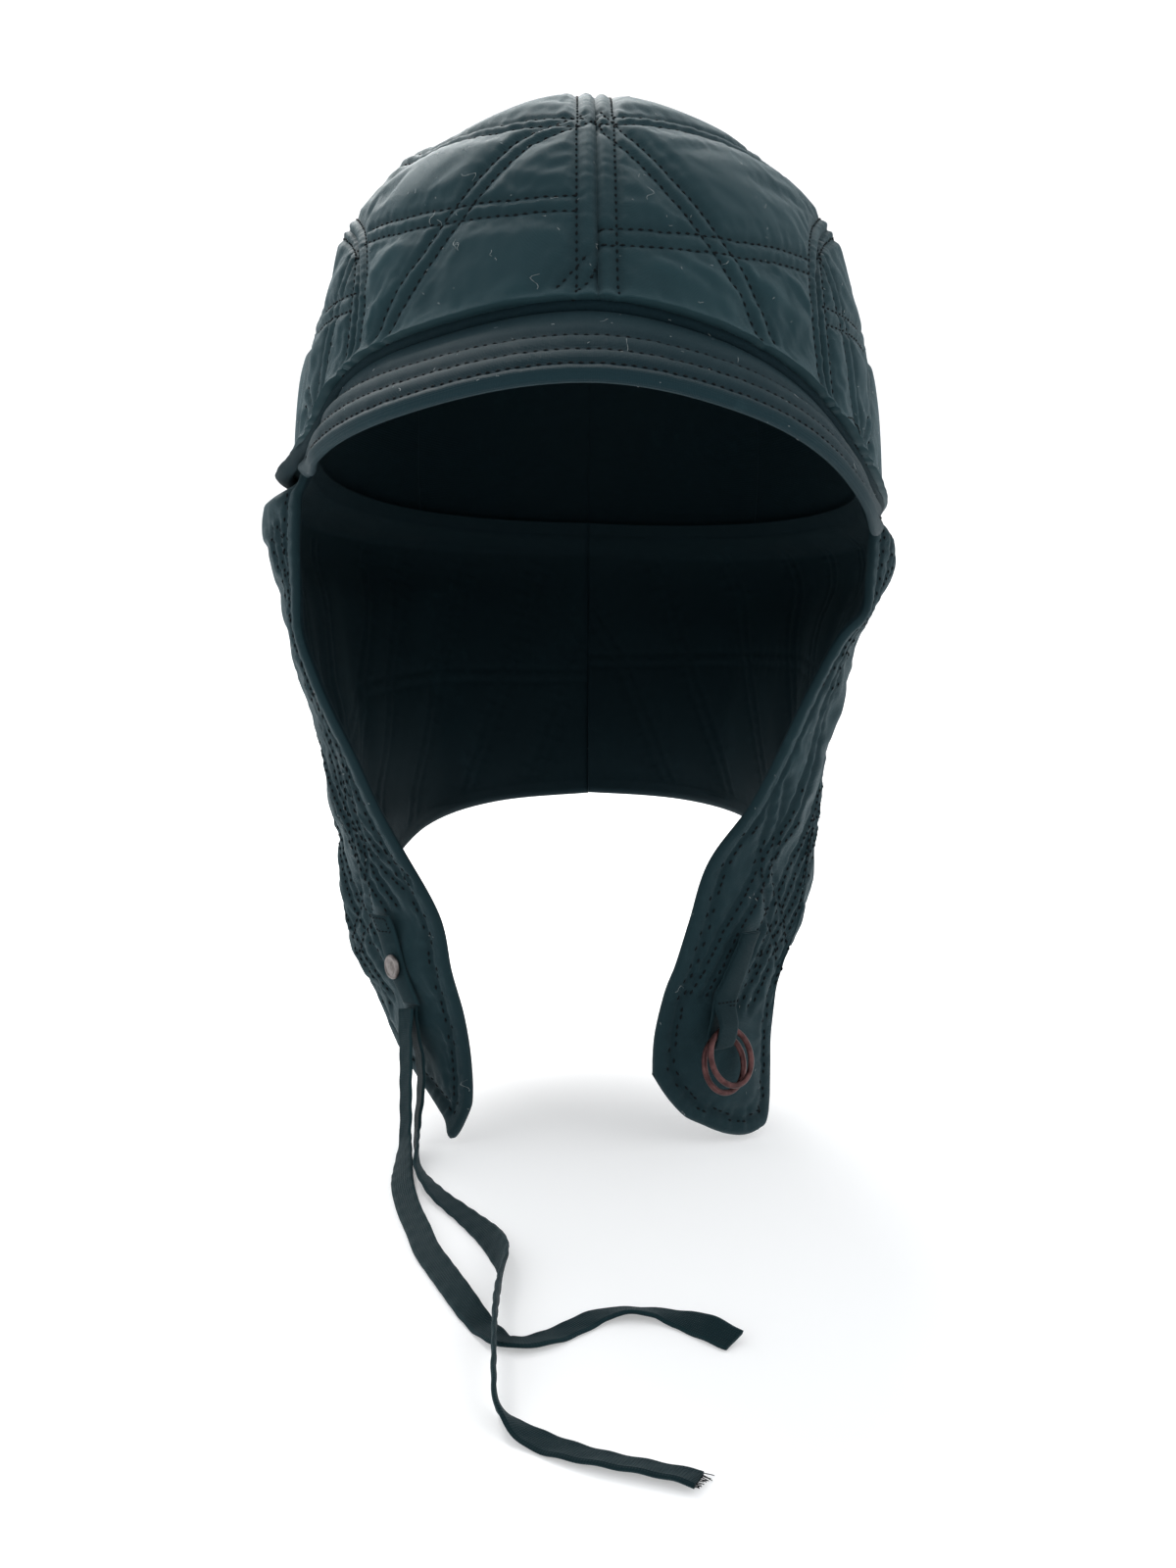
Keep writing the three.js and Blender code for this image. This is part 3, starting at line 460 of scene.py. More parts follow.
def settled(spots, columns, rows, free, step=3, slack=0.03, limit=1.2):
    """How far each crossing of a sheet moves; spots in mm, free is 0 at stitches and 1 elsewhere."""
    places = spots.reshape(columns + 1, rows + 1, 3)[::step, ::step]
    sheet, crossing, start = coarse_copy(places, free.reshape(columns + 1, rows + 1)[::step, ::step])
    cloth = sheet.modifiers.new("Cloth", "CLOTH")
    cloth.settings.quality = 4
    cloth.settings.mass = 0.1
    cloth.settings.bending_stiffness = 0.05
    cloth.settings.shrink_min = -slack
    cloth.settings.vertex_group_mass = "held"
    cloth.settings.use_pressure = True
    cloth.settings.uniform_pressure_force = 4
    cloth.settings.effector_weights.gravity = 0
    cloth.point_cache.frame_start, cloth.point_cache.frame_end = 1, settling_frames
    for frame_number in range(1, settling_frames + 1):
        bpy.context.scene.frame_set(frame_number)
    moved = np.empty(len(start) * 3, np.float32)
    sheet.evaluated_get(bpy.context.evaluated_depsgraph_get()).data.vertices.foreach_get("co", moved)
    bpy.context.scene.frame_set(1)
    bpy.data.objects.remove(sheet)
    shift = np.zeros_like(places)
    shift[crossing] = (moved.reshape(-1, 3) - start) / MM
    reach = np.linalg.norm(shift, axis=-1, keepdims=True)
    shift = shift * limit * np.tanh(reach / limit) / np.maximum(reach, 1e-9)
    print("   the padding moved", len(start), "places by up to", round(float(reach.max()), 2), "mm")
    return refined(shift, columns, rows, step)


print("each padded sheet settles over", settling_frames, "frames")

# %% [markdown]
# The shell is a matt nylon, woven so fine that at arm's length only a faint grain is left. It is nearly black
# with some blue-green in it. Where the cloth stands up it is a little paler, as dust and wear, and down in
# the stitched rows it is painted darker, as shade. The weave is made of two sets of ribs that cross, read
# from the sheet's own map so that they follow the cloth, and a broad noise keeps the colour from being even.
# A sheen brings up the pale line that such cloth has where it turns away.

# %% Nylon and tape
def woven(name, deep, raised, dust, thread, rib, sheen, roughness):
    """deep, raised and dust are colours; thread is the pitch of the weave in mm, rib its height."""
    cloth = Finish(name)
    own_map = cloth.node("ShaderNodeUVMap", {"uv_map": "cloth"})
    place = cloth.node("ShaderNodeTexCoord", None, None, "Object")
    warp, weft = (
        cloth.node("ShaderNodeTexWave",
                   {"wave_type": "BANDS", "wave_profile": "SIN", "bands_direction": axis},
                   {"Vector": own_map, "Scale": 30 / thread, "Distortion": 0.4}, "Fac")
        for axis in "XY")
    grain = warp * weft
    broad = cloth.noise(place, 22.0, 4.0)
    fine = cloth.noise(place, 260.0, 3.0, 0.7)
    stand = cloth.attribute("stand")
    # cloth that stands low, down in the stitched rows, is painted darker as shade; cloth that stands up is
    # paler, as wear
    wear_and_shade = cloth.spread(stand + broad * 0.5, 0.35, 1.25)
    tone = cloth.blend(wear_and_shade, (*deep, 1), (*raised, 1))
    dusty = cloth.spread(fine * broad, 0.3, 0.5)
    colour = cloth.blend(dusty * 0.35, tone, (*dust, 1))
    height = grain * rib + fine * 0.35 + broad * 0.6
    bump = cloth.node("ShaderNodeBump", None, {"Strength": 0.35, "Distance": 0.0006, "Height": height},
                      "Normal")
    matt = cloth.spread(broad + fine * 0.3, 0.3, 0.9, roughness - 0.07, roughness + 0.07)
    return cloth.wear(base_color=colour, roughness=matt, normal=bump, sheen_weight=sheen,
                      sheen_roughness=0.45, sheen_tint=(0.5, 0.72, 0.8, 1), specular_ior_level=0.15,
                      specular_tint=(0.74, 0.96, 1, 1))


shell = woven("shell_nylon", (0.003, 0.012, 0.016), (0.009, 0.027, 0.033), (0.022, 0.045, 0.052),
              0.33, 0.8, 0.15, 0.62)
lining = woven("lining_nylon", (0.001, 0.006, 0.009), (0.003, 0.013, 0.018), (0.008, 0.022, 0.027),
               0.4, 0.6, 0.03, 0.75)
tie_tape = woven("tie_tape", (0.0015, 0.009, 0.012), (0.0045, 0.018, 0.022), (0.015, 0.034, 0.04),
                 0.5, 1.0, 0.06, 0.70)
print("cloth finishes:", [m.name for m in bpy.data.materials])

# %% [markdown]
# Two flat ties come out from under the snap tab, hang down, and lie over the table in loose curves.
# A tape like this bends easily one way and hardly the other, so it turns by twisting: where it goes
# round a corner it stands up on its edge. Each row of the table is a place on the tape's middle line
# with the direction of its width, as an azimuth and a lift. A lift over 90 degrees means that the
# tape has turned its other face up.

# %% Where the ties run
tape = {"width": 6.2, "thickness": 1.0}
tie_columns = "x y z azimuth lift"
outer_tie_table = table(
    tie_columns,
    (-52.7, -55.1, -162.9, -40, 0), (-52.8, -56.7, -168.5, -44, 0), (-52.6, -57.3, -177, -48, 0),
    (-52.6, -58.3, -185.4, -50, 0), (-52.4, -60.2, -193.4, -50, 12), (-52.2, -63.8, -198.8, -48, 28),
    (-51.4, -73.9, -201.1, -34, 26), (-49.3, -90.9, -201.5, -14, 14), (-45.6, -107.2, -201.7, 8, 12),
    (-41.2, -122.2, -201.5, 18, 15), (-37.8, -134.1, -201.4, 20, 17), (-33.6, -144.5, -201.4, 22, 18),
    (-28.4, -156.8, -201.5, 26, 15), (-24.7, -165.2, -201.9, 34, 8), (-21.7, -171, -202.4, 50, 0),
    (-19.4, -175.2, -202, 68, -6), (-17, -178.4, -201.8, 86, -10), (-13.4, -178.9, -201.8, 96, -10),
    (-9.3, -177.2, -202, 106, -6), (-4.8, -173.2, -202.4, 114, 0), (-0.4, -169, -202.2, 114, 2),
    (3.2, -166.2, -202, 108, -6), (6.6, -165.6, -201.6, 97, -14), (10.6, -165.6, -201.4, 86, -18),
    (15.4, -166.2, -201.9, 76, -8), (20.3, -169.6, -201.7, 66, 12), (24.3, -174, -201, 58, 26),
    (29.5, -179, -201.4, 52, 18),
)
inner_tie_table = table(
    tie_columns,
    (-51.8, -54.1, -162.8, 140, 0), (-50.6, -55.3, -168.9, 130, 0), (-48.8, -55.4, -177.5, 120, 0),
    (-48.4, -56.4, -185.9, 114, -4), (-49, -58.6, -193.4, 114, -26), (-48.9, -62.6, -198.2, 122, -60),
    (-47.3, -74.3, -199.7, 0, -88), (-44.9, -85.3, -200.4, 10, -45), (-38.9, -98.6, -201.5, 22, -12),
    (-34.5, -105.7, -201.9, 24, 0), (-29.2, -115, -201.8, 30, 8), (-23.7, -127.1, -201, 26, 26),
    (-20.5, -138.1, -200, 14, 50), (-19.1, -146.8, -199.4, 2, 72), (-19.3, -155.4, -199.3, -4, 84),
    (-19.3, -166.2, -198.3, -2, 88), (-19, -175.9, -197.5, 0, 90), (-18.5, -185, -197.5, 0, 90),
    (-17.9, -194.8, -197.5, 2, 91), (-17.4, -201.8, -198.3, 10, 93), (-16.7, -205.8, -199.4, 24, 104),
    (-14.9, -209, -200.4, 42, 135), (-10.9, -212.6, -202, 54, 174), (-7.4, -215.2, -202.3, 67, 180),
    (-4, -217.5, -202.1, 73, 176), (1.7, -220.5, -201.8, 76, 170), (7.5, -222.7, -201.7, 76, 168),
    (14.5, -225.2, -201.7, 76, 168), (18.5, -226.8, -201.9, 72, 172),
)
print("the ties are given by", len(outer_tie_table["x"]), "and", len(inner_tie_table["x"]), "rows")

# %% [markdown]
# A curve through the rows is read by the length along it, so the tape is neither stretched nor
# squeezed. At each place of it three directions are needed: along the tape, across it, and out of
# its face.

# %% The route of a tie
def tie_route(rows):
    """The tape's middle line and the direction of its width, by the length along it."""
    places = vectors(rows["x"], rows["y"], rows["z"])
    steps = np.linalg.norm(np.diff(places, axis=0), axis=1)
    lift, azimuth = np.radians(rows["lift"]), np.radians(rows["azimuth"])
    by_length = {**rows, "length": np.append(0, np.cumsum(steps)), "wide_x": np.cos(lift) * np.cos(azimuth),
                 "wide_y": np.cos(lift) * np.sin(azimuth), "wide_z": np.sin(lift)}
    read = {name: reader(by_length, "length", name) for name in ("x", "y", "z", "wide_x", "wide_y", "wide_z")}

    def at(length):
        middle = vectors(*(read[name](length) for name in "xyz"))
        ahead = vectors(*(read[name](length + 0.5) - read[name](length - 0.5) for name in "xyz"))
        along = unit(ahead)
        wide = vectors(*(read["wide_" + name](length) for name in "xyz"))
        wide = unit(wide - along * np.sum(wide * along, axis=-1, keepdims=True))
        return middle, wide, np.cross(along, wide)

    return at, by_length["length"][-1]


print("the outer tie's route is", round(tie_route(outer_tie_table)[1], 1), "mm long")

# %% [markdown]
# The tape is a thin closed sheet along that route. Its two edges are a little thicker, as a woven
# edge is, and it ripples slightly from one to the other.

# %% The two ties
def tie_piece(name, rows, node):
    at, length = tie_route(rows)
    columns, across_cells = int(length / 0.9), 14
    u, v = sheet_grid(columns, across_cells)
    middle, wide, face = at(u * length)
    across = 2 * v - 1
    folded = 0.5 + 0.5 * np.clip((np.abs(across) - 0.55) / 0.2, 0, 1)
    half = tape["thickness"] / 2 * (0.7 + 0.3 * folded) * np.maximum(np.sqrt(1 - np.abs(across) ** 10), 0.15)
    ripples = 0.12 * np.sin(u * length * 0.9 + 2 * across) * across
    spots = middle + wide * (across * tape["width"] / 2)[:, None] + face * ripples[:, None]
    piece = sheet_body(name, columns, across_cells, (length, tape["width"]), u, v,
                       spots + face * half[:, None], spots - face * half[:, None],
                       0.35 + 0.4 * (np.abs(across) > 0.8))
    finish_piece(piece, tie_tape, "tie_fabric", node)
    path = at(np.linspace(0, length, 140))[0] * MM
    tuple(path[0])
    print("its lowest point is at", round(path[:, 2].min() / MM, 1), "mm")


tie_piece("outer_tie", outer_tie_table, "tie_outer")
tie_piece("inner_tie", inner_tie_table, "tie_inner")

# %% [markdown]
# The crown is a dome made of four pieces of quilted cloth: two halves that meet in a seam over the
# middle of the head, and a D-shaped panel over each ear. The dome is worked out as a rounded box of
# three half-sizes. The soft cloth isn't as even as that, so a table of places says where it falls in,
# how deep in mm and how wide, and a depth below nothing is a place where it stands out. A place on
# the dome is named by its turn from the front, in degrees, and its height.

# %% The dome
crown = {"half_width": 90.5, "half_length": 105, "height": 107, "roundness": 2.1, "wall": 3.6}
seam_shift = 2.5
dent_table = (
    (-30, -38, 96, 5.0, 17), (-42, -38, 88, 0.9, 10), (26, -38, 97, 3.4, 16), (44, -38, 88, 0.8, 12),
    (-52, -38, 84, -2.4, 8), (-69, -36, 60, -2.6, 9), (70, -35, 61, -2.8, 10),
    (-79, -32, 46, 2.2, 16), (-87, -30, 14, 1.2, 18), (78, -32, 46, 1.6, 16), (87, -30, 12, 1.6, 20),
)


def onto_dome(places, inset=0.0):
    """Moves places along their rays from the middle of the head opening onto the dome."""
    power = crown["roundness"]
    level = np.hypot(places[..., 0] / (crown["half_width"] - inset),
                     places[..., 1] / (crown["half_length"] - inset))
    rise = np.maximum(0, places[..., 2]) / (crown["height"] - inset)
    onto = places / ((level ** power + rise ** power) ** (1 / power))[..., None]
    for x, y, z, depth, spread in dent_table:
        away = np.linalg.norm(onto - (x, y, z), axis=-1)
        onto = onto * (1 - depth / crown["half_length"] * np.exp(-(away / spread) ** 2))[..., None]
    return onto


def dome_point(turn, height):
    power = crown["roundness"]
    narrowing = (1 - (np.maximum(0, height) / crown["height"]) ** power) ** (1 / power)
    turn = np.radians(turn)
    return vectors(crown["half_width"] * narrowing * np.sin(turn),
                   -crown["half_length"] * narrowing * np.cos(turn), height)


def dome_normal(places):
    """Out of the dome, and level where the cloth hangs below the middle of the head opening."""
    sizes = np.array([crown["half_width"], crown["half_length"], crown["height"]]) ** 2
    return unit(places / sizes * np.where(np.arange(3) < 2, True, places[..., 2:] > 0))


def turn_of(places):
    """The turn from the front of places, in degrees."""
    return np.degrees(np.arctan2(places[:, 0] / crown["half_width"], -places[:, 1] / crown["half_length"]))


print("the dome's top is at", np.round(onto_dome(np.array([0.0, 0, 100])), 1))

# %% [markdown]
# Three lines bound the pieces of the crown: the rim above the rolled edge, the centre seam, and an
# arch over each ear where the panel is set in. The arch is given by a table, because it is the
# tightest curve on the hat and the photograph shows its front part well.

# %% The rim and the arches
arch_table = table(
    "step turn rise",
    (0, 45.5, 17), (1, 44.8, 24), (2, 47, 39), (3, 52.5, 51), (4, 62, 60), (5, 76, 65.5),
    (6, 92, 67.5), (7, 108, 65), (8, 121, 57), (9, 129, 44), (10, 133, 26), (11, 135, -4),
)
arch_turn, arch_rise = reader(arch_table, "step", "turn"), reader(arch_table, "step", "rise")
arch_steps, arch_front, arch_back = 11, 45.5, 135


def rim_point(turn):
    return dome_point(turn, hem_rise(turn) + 0.8)


def arch_point(side, t):
    step = t * arch_steps
    turn = side * arch_turn(step)
    blend_in = np.minimum(1, np.minimum(step, arch_steps - step))
    return dome_point(turn, mix(hem_rise(turn) + 0.8, arch_rise(step), blend_in))


print("the brow is at", np.round(rim_point(0), 1))
print("the left arch's top is at", np.round(arch_point(1, 6 / arch_steps), 1))

# %% [markdown]
# Each piece has four sides, and all four are known lines. A patch spans them: it takes the mean of
# the two ways across and takes off what the corners gave twice. The result is then pressed onto the
# dome, so neighbours share their edge exactly.

# %% Surfaces of the crown
def patch(bottom, top, start, end, u, v):
    """A four-sided patch between its boundary curves."""
    u1, v1 = u[..., None], v[..., None]
    none, full = np.zeros_like(u), np.ones_like(u)
    low, high = mix(bottom(none), bottom(full), u1), mix(top(none), top(full), u1)
    return mix(bottom(u), top(u), v1) + mix(start(v), end(v), u1) - mix(low, high, v1)


def crown_half(side):
    """The surface of half of the crown's top: u runs out from the centre seam, v from brow to nape."""
    front, back = rim_point(0), rim_point(180)
    low, high = math.atan2(front[2], -front[1]), math.pi - math.atan2(back[2], back[1])

    def centre(v):
        angle = mix(low, high, v)
        return onto_dome(vectors(0 * v, -np.cos(angle), np.sin(angle)) * 100)

    def surface(u, v):
        spot = patch(lambda w: rim_point(side * arch_front * w),
                     lambda w: rim_point(side * mix(180, arch_back, w)),
                     centre, lambda w: arch_point(side, w), u, v)
        spot[..., 0] += seam_shift * (1 - v) * (1 - u)
        return onto_dome(spot)

    return surface


def crown_panel(side):
    """The surface of a side panel: u runs round the ear from the brow, v up from the rolled edge."""
    shoulder = 0.27

    def surface(u, v):
        return onto_dome(patch(
            lambda w: rim_point(side * mix(arch_front, arch_back, w)),
            lambda w: arch_point(side, mix(shoulder, 1 - shoulder, w)),
            lambda w: arch_point(side, shoulder * w), lambda w: arch_point(side, 1 - shoulder * w), u, v))

    return surface


print("the middle of the left panel is at", np.round(crown_panel(1)(np.array([0.5]), np.array([0.5])), 1))

# %% [markdown]
# The cloth was quilted before it was cut: pairs of stitched rows, 5 mm apart, cross it in three
# directions and leave padded triangles. Each row is kept as a line of places on the surface. The
# same lines do two jobs: they press the padding down, and later they carry the stitches. Besides the
# pairs, a row of topstitching follows each seam a few millimetres in.

# %% Stitched rows
PAIR = 2.45


def dome_line(points, step=3.0):
    """A line on the dome through (turn, rise) places."""
    spots = np.array([dome_point(turn, rise) for turn, rise in points])
    line = []
    for a, b in zip(spots[:-1], spots[1:]):
        count = max(2, int(np.linalg.norm(b - a) / step))
        line.extend(a + (b - a) * k / count for k in range(count))
    return onto_dome(np.array(line + [spots[-1]]))


def pair_of_rows(line, normals, apart=PAIR):
    ahead = unit(np.gradient(line, axis=0))
    across = np.cross(ahead, normals)
    return [line + across * apart, line - across * apart]


def row_by_edge(surface, edge, distance, count=90):
    """A row that follows one edge of a sheet, that far in from it."""
    t = np.linspace(0, 1, count)
    fixed, near = {"start": (0, 0.02), "end": (1, 0.98), "top": (1, 0.98)}[edge]
    at = (lambda w: surface(t, 0 * t + w)) if edge == "top" else (lambda w: surface(0 * t + w, t))
    rim, inside = at(fixed), at(near)
    return rim + unit(inside - rim) * distance


print("a row from brow to crown has", len(dome_line([(0, 30), (0, 80)])), "places")

# %% [markdown]
# How deep the padding is pressed depends on how far a place is from the nearest row. A tree of
# points finds the closest place of a finely divided row, and the exact distance is then taken to the
# short straight pieces on both sides of it. The length along the row is kept too, because puckers
# follow one another along it.

# %% The nearest row
def fine_line(row, step=1.5):
    """The same line with places no further apart than that step."""
    run = np.append(0, np.cumsum(np.linalg.norm(np.diff(row, axis=0), axis=1)))
    at = np.linspace(0, run[-1], max(2, int(run[-1] / step) + 1))
    return np.stack([np.interp(at, run, row[:, k]) for k in range(row.shape[1])], -1), at


def nearest_row(places, rows):
    """How far each place is from the closest row, and how far along that row it lies."""
    lines = [fine_line(row) for row in rows]
    spots = np.concatenate([line for line, _ in lines])
    runs = np.concatenate([run + 17.3 * k for k, (_, run) in enumerate(lines)])
    owner = np.repeat(np.arange(len(lines)), [len(line) for line, _ in lines])
    tree = KDTree(len(spots))
    for k, spot in enumerate(spots):
        tree.insert((*spot, 0)[:3], k)
    tree.balance()
    flat = np.zeros((len(places), 3))
    flat[:, :places.shape[1]] = places
    closest = np.array([tree.find(place)[1] for place in flat])
    away = np.linalg.norm(places - spots[closest], axis=1)
    along = runs[closest].copy()
    for shift in (-1, 0):
        a, b = np.clip(closest + shift, 0, len(spots) - 1), np.clip(closest + shift + 1, 0, len(spots) - 1)
        step = spots[b] - spots[a]
        length = np.maximum(np.linalg.norm(step, axis=1), 1e-9)
        t = np.clip(np.sum((places - spots[a]) * step, axis=1) / length ** 2, 0, 1)
        distance = np.linalg.norm(places - spots[a] - t[:, None] * step, axis=1)
        closer = (distance < away) & (owner[a] == owner[b])
        away[closer], along[closer] = distance[closer], (runs[a] + t * length)[closer]
    return away, along


level_row = np.array([[-9.0, 0], [9, 0]])
print("from a level row to a place 3 mm over it:", nearest_row(np.array([[0.0, 3.0]]), [level_row])[0])

# %% [markdown]
# The relief of quilting is a sharp groove at the rows and a broad swelling between them. Close to a
# row the cloth also puckers crosswise, as it does when a thread is drawn tight, and a few longer
# creases run where it bunches. Three waves whose lengths don't fit into each other make puckers that
# never repeat.

# %% The relief of quilting
def ripple(along, pitch):
    """An uneven wave, for puckers."""
    whole = 6.283
    return (np.sin(along * whole / pitch) + 0.7 * np.sin(along * whole / (pitch * 1.618) + 1.3)
            + 0.5 * np.sin(along * whole / (pitch * 0.617) + 4.1)) / 2.2


def quilt_relief(places, rows, seams, pad=0.5, groove=0.8, pucker=0.15):
    """How far the cloth stands over its surface; also how free of stitches each place is."""
    away, along = nearest_row(places, rows)
    seam_away, seam_along = nearest_row(places, seams)
    raised = groove * (1 - np.exp(-(away / 1.15) ** 1.8)) + pad * (1 - np.exp(-(away / 9.0) ** 2)) - 0.55
    raised = raised + pucker * ripple(along, 4.4) * np.exp(-((away - 1.6) / 2.0) ** 2)
    raised = raised + pucker * ripple(seam_along, 3.6) * np.exp(-(seam_away / 4.5) ** 2)
    return raised - 1.2 * np.exp(-(seam_away / 0.9) ** 2), np.minimum(away, seam_away)


def crease_relief(places, creases):
    lift = np.zeros(len(places))
    for turn, rise, to_turn, to_rise, height, spread in creases:
        line = dome_line([(turn, rise), (to_turn, to_rise)], 6.0)
        away, along = nearest_row(places, [line])
        t = along / max(along.max(), 1e-6)
        lift += height * np.sqrt(np.maximum(0, np.sin(math.pi * t))) * np.exp(-(away / spread) ** 2)
    return lift


print("puckers 0 to 4 mm along a row:", np.round(ripple(np.arange(5.0), 4.4), 2))

# %% [markdown]
# The lines are read off the photograph, as turns from the front and heights. At the back, which it
# doesn't show, they go on in the same three directions. The halves aren't mirror images, because
# each was cut from quilted cloth wherever it came.

# %% Where the quilting runs on the crown
quilt_lines = {
    "right_half": [
        [(-1.5, 51.3), (-14, 51.0), (-26, 51.4), (-38, 52.4), (-50, 53.8)],
        [(-1.0, 79), (-22, 79.5), (-48, 80), (-75, 80.5), (-105, 80.5), (-140, 80), (-179, 79)],
        [(0.5, 81.5), (-2.6, 79.3), (-14.4, 71.7), (-24.7, 51), (-29.9, 38.3), (-35.2, 26.6), (-37.4, 18)],
        [(1.1, 35.2), (-3.8, 26.4)],
        [(-179, 52), (-155, 52), (-126, 53)],
        [(-179, 80), (-166, 72), (-155, 52), (-146, 30), (-140, 4)],
        [(-48, 103), (-62, 92), (-74, 80), (-84, 66)],
        [(-130, 103), (-118, 92), (-108, 80), (-98, 66)],
    ],
    "left_half": [
        [(1.5, 41.6), (14, 41.6), (28, 42), (46, 43.2)],
        [(1.0, 80), (8.2, 80.2), (28.8, 80.5), (44.1, 79.5), (75, 80), (105, 80), (140, 79), (179, 79)],
        [(0.5, 84), (6.1, 74.3), (15.1, 58.9), (21.8, 44.9), (27.2, 30.9), (30.9, 17)],
        [(179, 42), (155, 42), (132, 43)],
        [(179, 84), (166, 70), (155, 52), (147, 30), (141, 4)],
        [(50, 103), (62, 92), (72, 80), (82, 66)],
        [(130, 103), (118, 92), (110, 80), (100, 66)],
    ],
    "left_panel": [
        [(53.2, 52), (54.1, 30.6), (54.9, 12), (57.7, -6)],
        [(47, 30), (66, 30.5), (92, 31), (118, 30.5), (132, 30)],
        [(92, 68), (80, 46), (70, 24), (61, -2), (58, -12)],
        [(92, 68), (104, 46), (114, 24), (123, -2), (127, -14)],
    ],
    "right_panel": [
        [(-53.2, 52), (-54.4, 30), (-56, 12), (-59, 0)],
        [(-47, 34), (-66, 34.5), (-92, 35), (-118, 34.5), (-132, 34)],
        [(-92, 68), (-80, 48), (-70, 28), (-61, 6), (-58, -2)],
        [(-92, 68), (-104, 48), (-114, 28), (-123, 2), (-127, -8)],
    ],
}
print("quilted lines:", {name: len(lines) for name, lines in quilt_lines.items()})

# %% [markdown]
# A few creases are large enough to be placed one by one: each has its two ends, its height and its
# width. Along its lower edge the crown's cloth swells out a little over the rolled edge, as cloth
# does where it is turned under.

# %% Creases and the lip
crown_creases = {
    "right_half": [(-28, 40, -44, 22, 0.9, 3.0), (-34, 48, -45, 34, 0.7, 2.4), (-10, 30, -16, 24, 0.5, 2.5)],
    "left_half": [(6, 38, 26, 22, 1.0, 2.6), (12, 40, 32, 22, 0.9, 2.2), (22, 40, 40, 24, 0.8, 2.2),
                  (34, 40, 44, 28, 0.7, 2.0)],
    "left_panel": [(60, 20, 66, -8, 0.8, 2.6), (98, 20, 106, -8, 0.7, 3)],
    "right_panel": [(-60, 24, -70, -2, 0.8, 2.6), (-98, 20, -106, -2, 0.7, 3)],
}


def lip(places):
    """How far the cloth stands out along its lower edge."""
    turn = turn_of(places)
    above = places[:, 2] - hem_rise(turn) - 0.8
    return 2.6 * np.exp(-(np.maximum(0, above) / 2.4) ** 1.3) * (1 + 0.05 * ripple(turn * 1.7, 11.0))


print("the lip over the brow stands out", np.round(lip(rim_point(np.array([0.0]))), 2), "mm")

# %% [markdown]
# Each piece of the crown is built alike: its surface, the rows that cross it, a row of topstitching
# beside each seam, and its creases. Its outer face carries the relief, its inner face is the plain
# lining, and along its edges it dips into the seam, so that two neighbours meet in a furrow as sewn
# pieces do.

# %% The four pieces of the crown
sewn_rows = {}


def crown_piece(name, key, surface, edge_rows, seams, columns, rows_across, size, node):
    pairs = [dome_line(points) for points in quilt_lines[key]]
    rows = [row for line in pairs for row in pair_of_rows(line, dome_normal(line))]
    rows += [row_by_edge(surface, edge, distance) for edge, distance in edge_rows]
    seam_lines = [row_by_edge(surface, edge, 0.0) for edge in seams]
    sewn_rows[name] = rows
    u, v = sheet_grid(columns, rows_across, (0.25, 0.15))
    spots = surface(u, v)
    raised, away = quilt_relief(spots, rows, seam_lines)
    raised = raised + crease_relief(spots, crown_creases[key]) + lip(spots)
    rim = np.minimum(u, 1 - u) * columns < 1.5
    rim |= np.minimum(v, 1 - v) * rows_across < 1.5
    free = (away > 1.7) & ~rim
    billow = settled(spots, columns, rows_across, free) * (1 - np.exp(-(away / 2.0) ** 2))[:, None]
    outer = spots + dome_normal(spots) * raised[:, None] + billow
    piece = sheet_body(name, columns, rows_across, size, u, v, outer, onto_dome(spots, crown["wall"]),
                       np.clip(0.5 + 0.3 * raised + 0.15 * np.linalg.norm(billow, axis=1), 0, 1), True)
    finish_piece(piece, (shell, lining), "shell_fabric", node)


crown_piece("right_crown_half", "right_half", crown_half(-1), [("start", 5.3), ("end", 4.0)],
            ("start", "end"), 132, 300, (118, 270), "crown_top_right")
crown_piece("left_crown_half", "left_half", crown_half(1), [("start", 5.0), ("end", 4.0)],
            ("start", "end"), 132, 300, (118, 270), "crown_top_left")
crown_piece("right_ear_panel", "right_panel", crown_panel(-1), [("start", 3.6), ("end", 3.6), ("top", 3.6)],
            ("start", "end", "top"), 168, 96, (150, 78), "crown_side_right")
crown_piece("left_ear_panel", "left_panel", crown_panel(1), [("start", 3.6), ("end", 3.6), ("top", 3.6)],
            ("start", "end", "top"), 168, 96, (150, 82), "crown_side_left")

# %% [markdown]
# Round the head the cloth of the crown is turned under and makes a soft roll. Its bead sits just under the
# crown's lip, over the peak. The whole roll wears the darker lining nylon, so the dark band under the lip is
# painted shade. Over the wearer's right ear it flares out into a corner. The roll is one sheet wrapped into a
# tube, closed round the head and round its own section, which is an ellipse that widens where the roll
# flares.

# %% The rolled edge
def rolled_edge_body(stations, sides):
    """One sheet wrapped round the head and round its own section, and closed both ways."""
    u, v = sheet_grid(stations, sides)
    turn = mix(-180, 180, u)
    middle = dome_point(turn, hem_rise(turn))
    out = unit(middle * (1, 1, 0))
    flare, angle = hem_flare(turn), 2 * math.pi * v
    shown = np.clip(flare / 3, 0, 1) ** 2
    swell = 0.18 * ripple(turn * 1.75, 9.0) * np.maximum(0, np.cos(angle - 0.5))
    reach = 0.5 * flare + 6 * shown - 1.3 + (1.5 + 0.5 * flare) * np.cos(angle) + swell
    spots = middle + out * reach[:, None]
    spots[:, 2] += 1.7 * np.sin(angle) - 0.2 + 0.3 * swell
    body = bmesh.new()
    bmesh.ops.create_grid(body, x_segments=stations, y_segments=sides, size=0.5)
    column, row = grid_lines(np.array([corner.co for corner in body.verts]), stations, sides)
    crossing = column * (sides + 1) + row
    lay_cloth(body, crossing, u, v, (620, 18))
    for corner, spot in zip(body.verts, spots[crossing] * MM):
        corner.co = spot
    bmesh.ops.remove_doubles(body, verts=body.verts[:], dist=1e-6)
    bmesh.ops.recalc_face_normals(body, faces=body.faces[:])
    return new_piece("rolled_edge", body)


